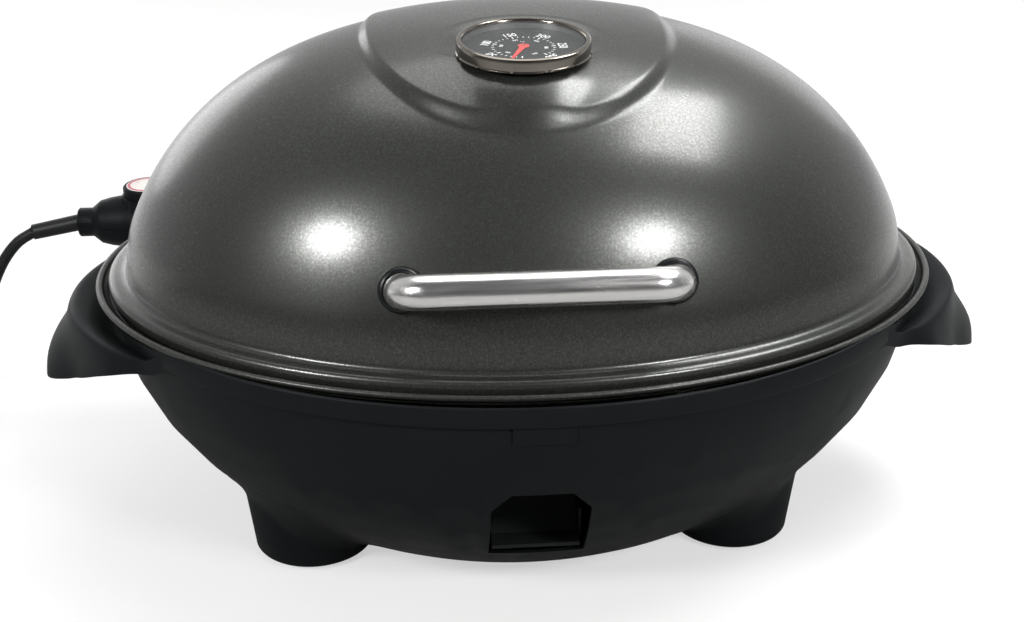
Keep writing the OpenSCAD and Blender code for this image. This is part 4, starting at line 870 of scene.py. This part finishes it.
class GRILL_OT_handle(bpy.types.Operator):
    """Bends the handle's tube and turns its two bezels"""

    bl_idname = "grill.handle"
    bl_label = "Handle"

    def execute(self, context):
        bend, n, m = TUBE_BEND, TUBE_PARTS, TUBE_SPAN_PARTS
        points = [(-LEG_X, 2.0), (-LEG_X, -(HANDLE_REACH - bend) * 0.5)]
        for i in range(n + 1):
            a = math.pi / 2 * i / n
            points.append((-LEG_X + bend - bend * math.cos(a), -(HANDLE_REACH - bend) - bend * math.sin(a)))
        points += [(-LEG_X + bend + (LEG_X - bend) * 2 * i / m, -HANDLE_REACH) for i in range(1, m)]
        for i in range(n + 1):
            a = math.pi / 2 * (1 - i / n)
            points.append((LEG_X - bend + bend * math.cos(a), -(HANDLE_REACH - bend) - bend * math.sin(a)))
        points += [(LEG_X, -(HANDLE_REACH - bend) * 0.5), (LEG_X, 2.0)]
        bar = tube("handle_bar", [(x * MM, y * MM, 0) for x, y in points], TUBE_R * MM, 14)
        take(bar)
        bpy.ops.object.convert(target="MESH")
        bar = context.object
        place(bar, handle_matrix())
        smooth(bar, 50)
        fit_out(bar, "lid", "chrome", FINISHES["chrome"], "handle_tube")

        cups = []
        for side in (-1, 1):
            cup = turned("cup", [(9.5, -6), (12.5, -6), (12.5, 3.2), (12.3, 4.6), (11.6, 5.6), (10.6, 6.0),
                                 (9.9, 5.7), (9.5, 5.0), (9.5, -6)], 64)
            cup.data.transform(Matrix.Translation((side * LEG_X * MM, 0, 0))
                               @ Matrix.Rotation(math.pi / 2, 4, "X"))
            place(cup, handle_matrix())
            cups.append(cup)
        cups = join("handle_bezel_rings", cups)
        smooth(cups, 40)
        fit_out(cups, "lid", "black_plastic", FINISHES["glossy_plastic"], "handle_bezels")
        return {"FINISHED"}


class GRILL_OT_thermometer(bpy.types.Operator):
    """Turns the thermometer's bezel and prints its dial"""

    bl_idname = "grill.thermometer"
    bl_label = "Thermometer"

    def execute(self, context):
        line = [(35.9, 0.45), (37.6, 0.3), (38.3, 0.5), (38.5, 1.0), (38.2, 1.5), (37.9, 1.8), (37.95, 3.0),
                (38.0, 5.5), (38.0, 7.0), (37.7, 7.9), (37.0, 8.4), (36.1, 8.5), (35.2, 8.3), (34.6, 7.7),
                (34.4, 7.0), (34.4, 6.6), (35.9, 6.6), (35.9, 0.45)]
        bezel = turned("gauge_bezel", line, 240)
        # Crimp notches in the lower lip
        for v in bezel.data.vertices:
            z, r = v.co.z / MM, math.hypot(v.co.x, v.co.y) / MM
            turn = math.degrees(math.atan2(v.co.y, v.co.x)) % NOTCH_TURN
            if z < NOTCH_TOP and r > NOTCH_R + 0.1 and NOTCH_FROM < turn < NOTCH_TO:
                v.co.x *= NOTCH_R / r
                v.co.y *= NOTCH_R / r
        place(bezel, gauge_matrix())
        smooth(bezel, 30)
        fit_out(bezel, "lid", "warm_steel", FINISHES["warm_steel"], "thermometer_bezel")

        # A black collar under the bezel is painted shade: it fills the gap under the thermometer's front so
        # that the gap reads as the dark shadow there
        collar = turned("gauge_shade_collar", [(22, -17), (24.5, -17), (25.5, -6), (28, -2.0), (33.5, -0.4),
                                         (34.5, 0.25), (22, 0.25), (22, -17)], 96)
        place(collar, gauge_matrix())
        smooth(collar, 30)
        fit_out(collar, "lid", "black_plastic", FINISHES["black_plastic"])

        face = DIAL_FACE - DIAL_SUNK + 0.04
        marks = []
        for value in range(0, 301, 10):
            a = math.radians(SCALE_START - SCALE_STEP * value)
            inner, wide = MARK_SHORT if value % 50 else MARK_LONG
            mark = block("mark", (inner, -wide / 2, face), (MARK_OUTER, wide / 2, face + PRINT))
            mark.data.transform(Matrix.Rotation(a, 4, "Z"))
            marks.append(mark)
        for value in range(50, 301, 50):
            marks.append(numeral(str(value), 7.3, 21.9, SCALE_START - SCALE_STEP * value, face, 0.78))
        for value in range(100, 601, 100):
            # Degrees Fahrenheit on the inner ring
            turn = SCALE_START - SCALE_STEP * (value - 32) / 1.8
            marks.append(numeral(str(value), 2.9, 12.6, turn, face, 0.8))
        marks.append(numeral("°C", 3.0, 8.6, 90, face, 0.9))
        scale = join("gauge_scale", marks)
        place(scale, gauge_matrix())
        fit_out(scale, "lid", "dial_face", FINISHES["dial_print"])
        return {"FINISHED"}


class GRILL_OT_base(bpy.types.Operator):
    """Shapes the rim band, both side grips and the bowl"""

    bl_idname = "grill.base"
    bl_label = "Base"

    def execute(self, context):
        plastic = FINISHES["black_plastic"]
        line = [(249.0, 154.9), (253.6, 154.95), (254.5, 155.3), (255.0, 156.2), (255.0, 165.8),
                (254.8, 166.7), (254.2, 167.3), (253.4, 167.5), (252.9, 167.3), (252.6, 166.8),
                (252.4, 163.6), (252.0, 162.9), (251.2, 162.7), (244.0, 162.7), (244.0, 154.9),
                (249.0, 154.9)]
        band = turned("rim_band", line, 288, FRAME_K)
        smooth(band, 50)
        fit_out(band, "base", "black_plastic", plastic, "rim_frame")

        # The hinge bosses and the socket's housing are kept from the frame itself
        fittings = copy_of("rim_frame", "rim_fittings")
        keep_faces(fittings, lambda x, y, z: (abs(abs(x) - HINGE_X) < 13.5 and y > 188)
                   or (x < -155 and abs(y - SOCKET_Y) < 17 and z < 164))
        smooth(fittings, 25)
        fit_out(fittings, "base", "black_plastic", plastic, "rim_frame")

        tabs = []
        for side in (-1, 1):
            tab = sheet(16, 8)
            for v in tab.data.vertices:
                x, z = v.co.x * TAB_WIDE, TAB_Z + v.co.y * TAB_HIGH
                out = (bowl_radius(min(z, BOWL_TOP - 0.1)) + TAB_PROUD) ** 2 - x * x
                v.co = (-side * x * MM, side * FRAME_K * math.sqrt(out) * MM, z * MM)
            press(tab, "SOLIDIFY", thickness=2.6 * MM, offset=-1.0)
            press(tab, "BEVEL", width=0.35 * MM, segments=2, limit_method="ANGLE",
                  angle_limit=math.radians(50))
            tabs.append(tab)
        tabs = join("rim_tabs", tabs)
        smooth(tabs, 30)
        fit_out(tabs, "base", "black_plastic", plastic, "rim_frame")

        grips = []
        rows, columns, half = len(GRIP_DISH) + len(GRIP_WALL), GRIP_COLUMNS, math.radians(GRIP_HALF)
        for side in (-1, 1):
            grip = sheet(columns - 1, rows - 1)
            for v in grip.data.vertices:
                angle = (v.co.x * 2) * half
                row = round((v.co.y + 0.5) * (rows - 1))
                r, z = grip_point(angle, row)
                v.co = (side * (GRIP_CX + r * math.cos(angle)) * MM, r * math.sin(angle) * MM, z * MM)
            self.turn_out(grip)
            press(grip, "SUBSURF", levels=2, render_levels=2)
            press(grip, "SOLIDIFY", thickness=GRIP_WALL_T * MM, offset=-1.0)
            grips.append(grip)
        grips = join("side_grips", grips)
        smooth(grips, 50)
        fit_out(grips, "base", "black_plastic", plastic, "rim_frame")

        bowl = softened("base_bowl", "bowl_shell", 30)
        fit_out(bowl, "base", "black_plastic", plastic, "base_bowl")

        flares = []
        rows, columns = LEG_ROWS, LEG_COLUMNS
        for x in (-FOOT_X, FOOT_X):
            for y in (-FOOT_Y, FOOT_Y):
                flare = sheet(columns, rows - 1)
                lines = [leg_line(x, y, 2 * math.pi * i / columns) for i in range(columns)]
                for v in flare.data.vertices:
                    i, row = round((v.co.x + 0.5) * columns) % columns, round((v.co.y + 0.5) * (rows - 1))
                    d, z = lines[i][row]
                    a = 2 * math.pi * i / columns
                    v.co = ((x + d * math.cos(a)) * MM, (y + d * math.sin(a)) * MM, z * MM)
                close_up(flare)
                flares.append(flare)
        flares = join("leg_flares", flares)
        smooth(flares, 40)
        fit_out(flares, "base", "black_plastic", plastic, "base_bowl")
        return {"FINISHED"}

    def turn_out(self, grip):
        """Flip a grip whose crest faces down."""
        crest = max(grip.data.polygons, key=lambda p: p.center.z)
        if crest.normal.z < 0:
            open_up(grip)
            bpy.ops.mesh.flip_normals()
            bpy.ops.object.mode_set(mode="OBJECT")


class GRILL_OT_plate(bpy.types.Operator):
    """Turns the plate's rolled rim on the cast plate"""

    bl_idname = "grill.plate"
    bl_label = "Plate"

    def execute(self, context):
        casting = softened("grill_plate", "grill_plate_casting", 30)
        keep_faces(casting, lambda x, y, z: math.hypot(x, y / PLATE_K) < PLATE_RX - 4.8 or z < 164)
        fit_out(casting, "base", "nonstick", FINISHES["nonstick"], "grill_plate")
        line = [(256.0, 166.4), (257.6, 166.5), (258.3, 167.0), (258.7, 168.3), (259.4, 169.2),
                (260.4, 169.5), (261.6, 169.4), (262.5, 168.9), (263.0, 168.0), (262.9, 167.1),
                (262.3, 166.4), (261.4, 166.1), (260.0, 165.9), (259.3, 165.3), (259.1, 164.7),
                (254.0, 164.7), (256.0, 166.4)]
        rim = turned("grill_plate_rim", line, 320, PLATE_K)
        smooth(rim, 50)
        fit_out(rim, "base", "nonstick", FINISHES["nonstick"], "grill_plate")
        return {"FINISHED"}


class GRILL_OT_details(bpy.types.Operator):
    """Finishes every other node and the controller's dial"""

    bl_idname = "grill.details"
    bl_label = "Details"

    def execute(self, context):
        record = frame["record"]
        slots = {s["node"]: s["material_slot"] for s in record["subparts"]}
        body_of = {n: b for b, members in record["behaviour"]["bodies"].items() for n in members}
        look = {n: FINISHES["tray_plastic" if n in ("grease_tray", "tray_channel") else slots[n]]
                for n in slots}
        for node, obj in frame["nodes"].items():
            obj.data.materials.clear()
            obj.data.materials.append(look[node])
        for node, (name, angle, edge) in SOFTENED.items():
            piece = softened(node, name, angle, edge)
            if node.startswith("thermometer"):
                down = gauge_matrix().to_3x3() @ Vector((0, 0, -DIAL_SUNK * MM))
                piece.data.transform(Matrix.Translation(down))
            if node.startswith("controller_") and node != "controller_nose":
                self.swell(piece)
            fit_out(piece, body_of[node], slots[node], look[node], node)
        self.print_dial()
        return {"FINISHED"}

    def swell(self, shell):
        """Round the controller's barrel out towards its collar."""
        for v in shell.data.vertices:
            t = BARREL_X - v.co.x / MM
            more = 0.0
            for (ta, a), (tb, b) in zip(BARREL_SWELL, BARREL_SWELL[1:]):
                if ta <= t <= tb:
                    more = a + (b - a) * (t - ta) / (tb - ta)
            y, z = v.co.y / MM - SOCKET_Y, v.co.z / MM - SOCKET_Z
            k = 1 + more / max(math.hypot(y, z), 8.0)
            v.co.y, v.co.z = (SOCKET_Y + y * k) * MM, (SOCKET_Z + z * k) * MM

    def print_dial(self):
        """Print plain numbers and a band round them on the controller's disc."""
        inner, outer, top = DIAL_R - 5.2, DIAL_R - 3.4, DIAL_TOP + 0.08
        band = turned("dial_band", [(inner, DIAL_TOP), (outer, DIAL_TOP), (outer, top), (inner, top),
                                    (inner, DIAL_TOP)], 48)
        spot = Matrix.Translation((DIAL_X * MM, SOCKET_Y * MM, 0))
        band.data.transform(spot)
        smooth(band, 30)
        fit_out(band, "dial", "dial_disc", FINISHES["dial_rose"])
        marks = join("dial_numbers", [numeral(str(value), 5.2, DIAL_R - 8.4, 210 - 60 * value, DIAL_TOP, 0.9)
                                      for value in range(1, 6)])
        marks.data.transform(spot)
        fit_out(marks, "dial", "dial_disc", FINISHES["dial_rose"])


class GRILL_PT_panel(bpy.types.Panel):
    """Lists the grill's pieces and settings"""

    bl_idname = "GRILL_PT_panel"
    bl_label = "Table grill"
    bl_space_type = "VIEW_3D"
    bl_region_type = "UI"
    bl_category = "Grill"

    def draw(self, context):
        layout = self.layout
        for settings in (context.scene.grill_lid, context.scene.grill_colours, context.scene.grill_cord):
            box = layout.box()
            for key in settings.__annotations__:
                box.prop(settings, key)
        for operator in OPERATORS:
            layout.operator(operator.bl_idname)


SETTINGS = {"grill_lid": GrillLidSettings, "grill_colours": GrillColourSettings,
            "grill_cord": GrillCordSettings}
OPERATORS = [GRILL_OT_stage, GRILL_OT_cord, GRILL_OT_lid, GRILL_OT_handle, GRILL_OT_thermometer,
             GRILL_OT_base, GRILL_OT_plate, GRILL_OT_details]


def register():
    """Add the classes and the scene's settings."""
    for cls in [*SETTINGS.values(), *OPERATORS, GRILL_PT_panel]:
        bpy.utils.register_class(cls)
    for key, cls in SETTINGS.items():
        setattr(bpy.types.Scene, key, bpy.props.PointerProperty(type=cls))


def unregister():
    """Take the settings and the classes away again."""
    for key in SETTINGS:
        delattr(bpy.types.Scene, key)
    for cls in reversed([*SETTINGS.values(), *OPERATORS, GRILL_PT_panel]):
        bpy.utils.unregister_class(cls)


def main():
    """Build every piece in turn."""
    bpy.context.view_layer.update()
    register()
    make_finishes()
    for operator in OPERATORS:
        group, name = operator.bl_idname.split(".")
        getattr(getattr(bpy.ops, group), name)()
    lay_off()


if __name__ == "__main__":
    main()
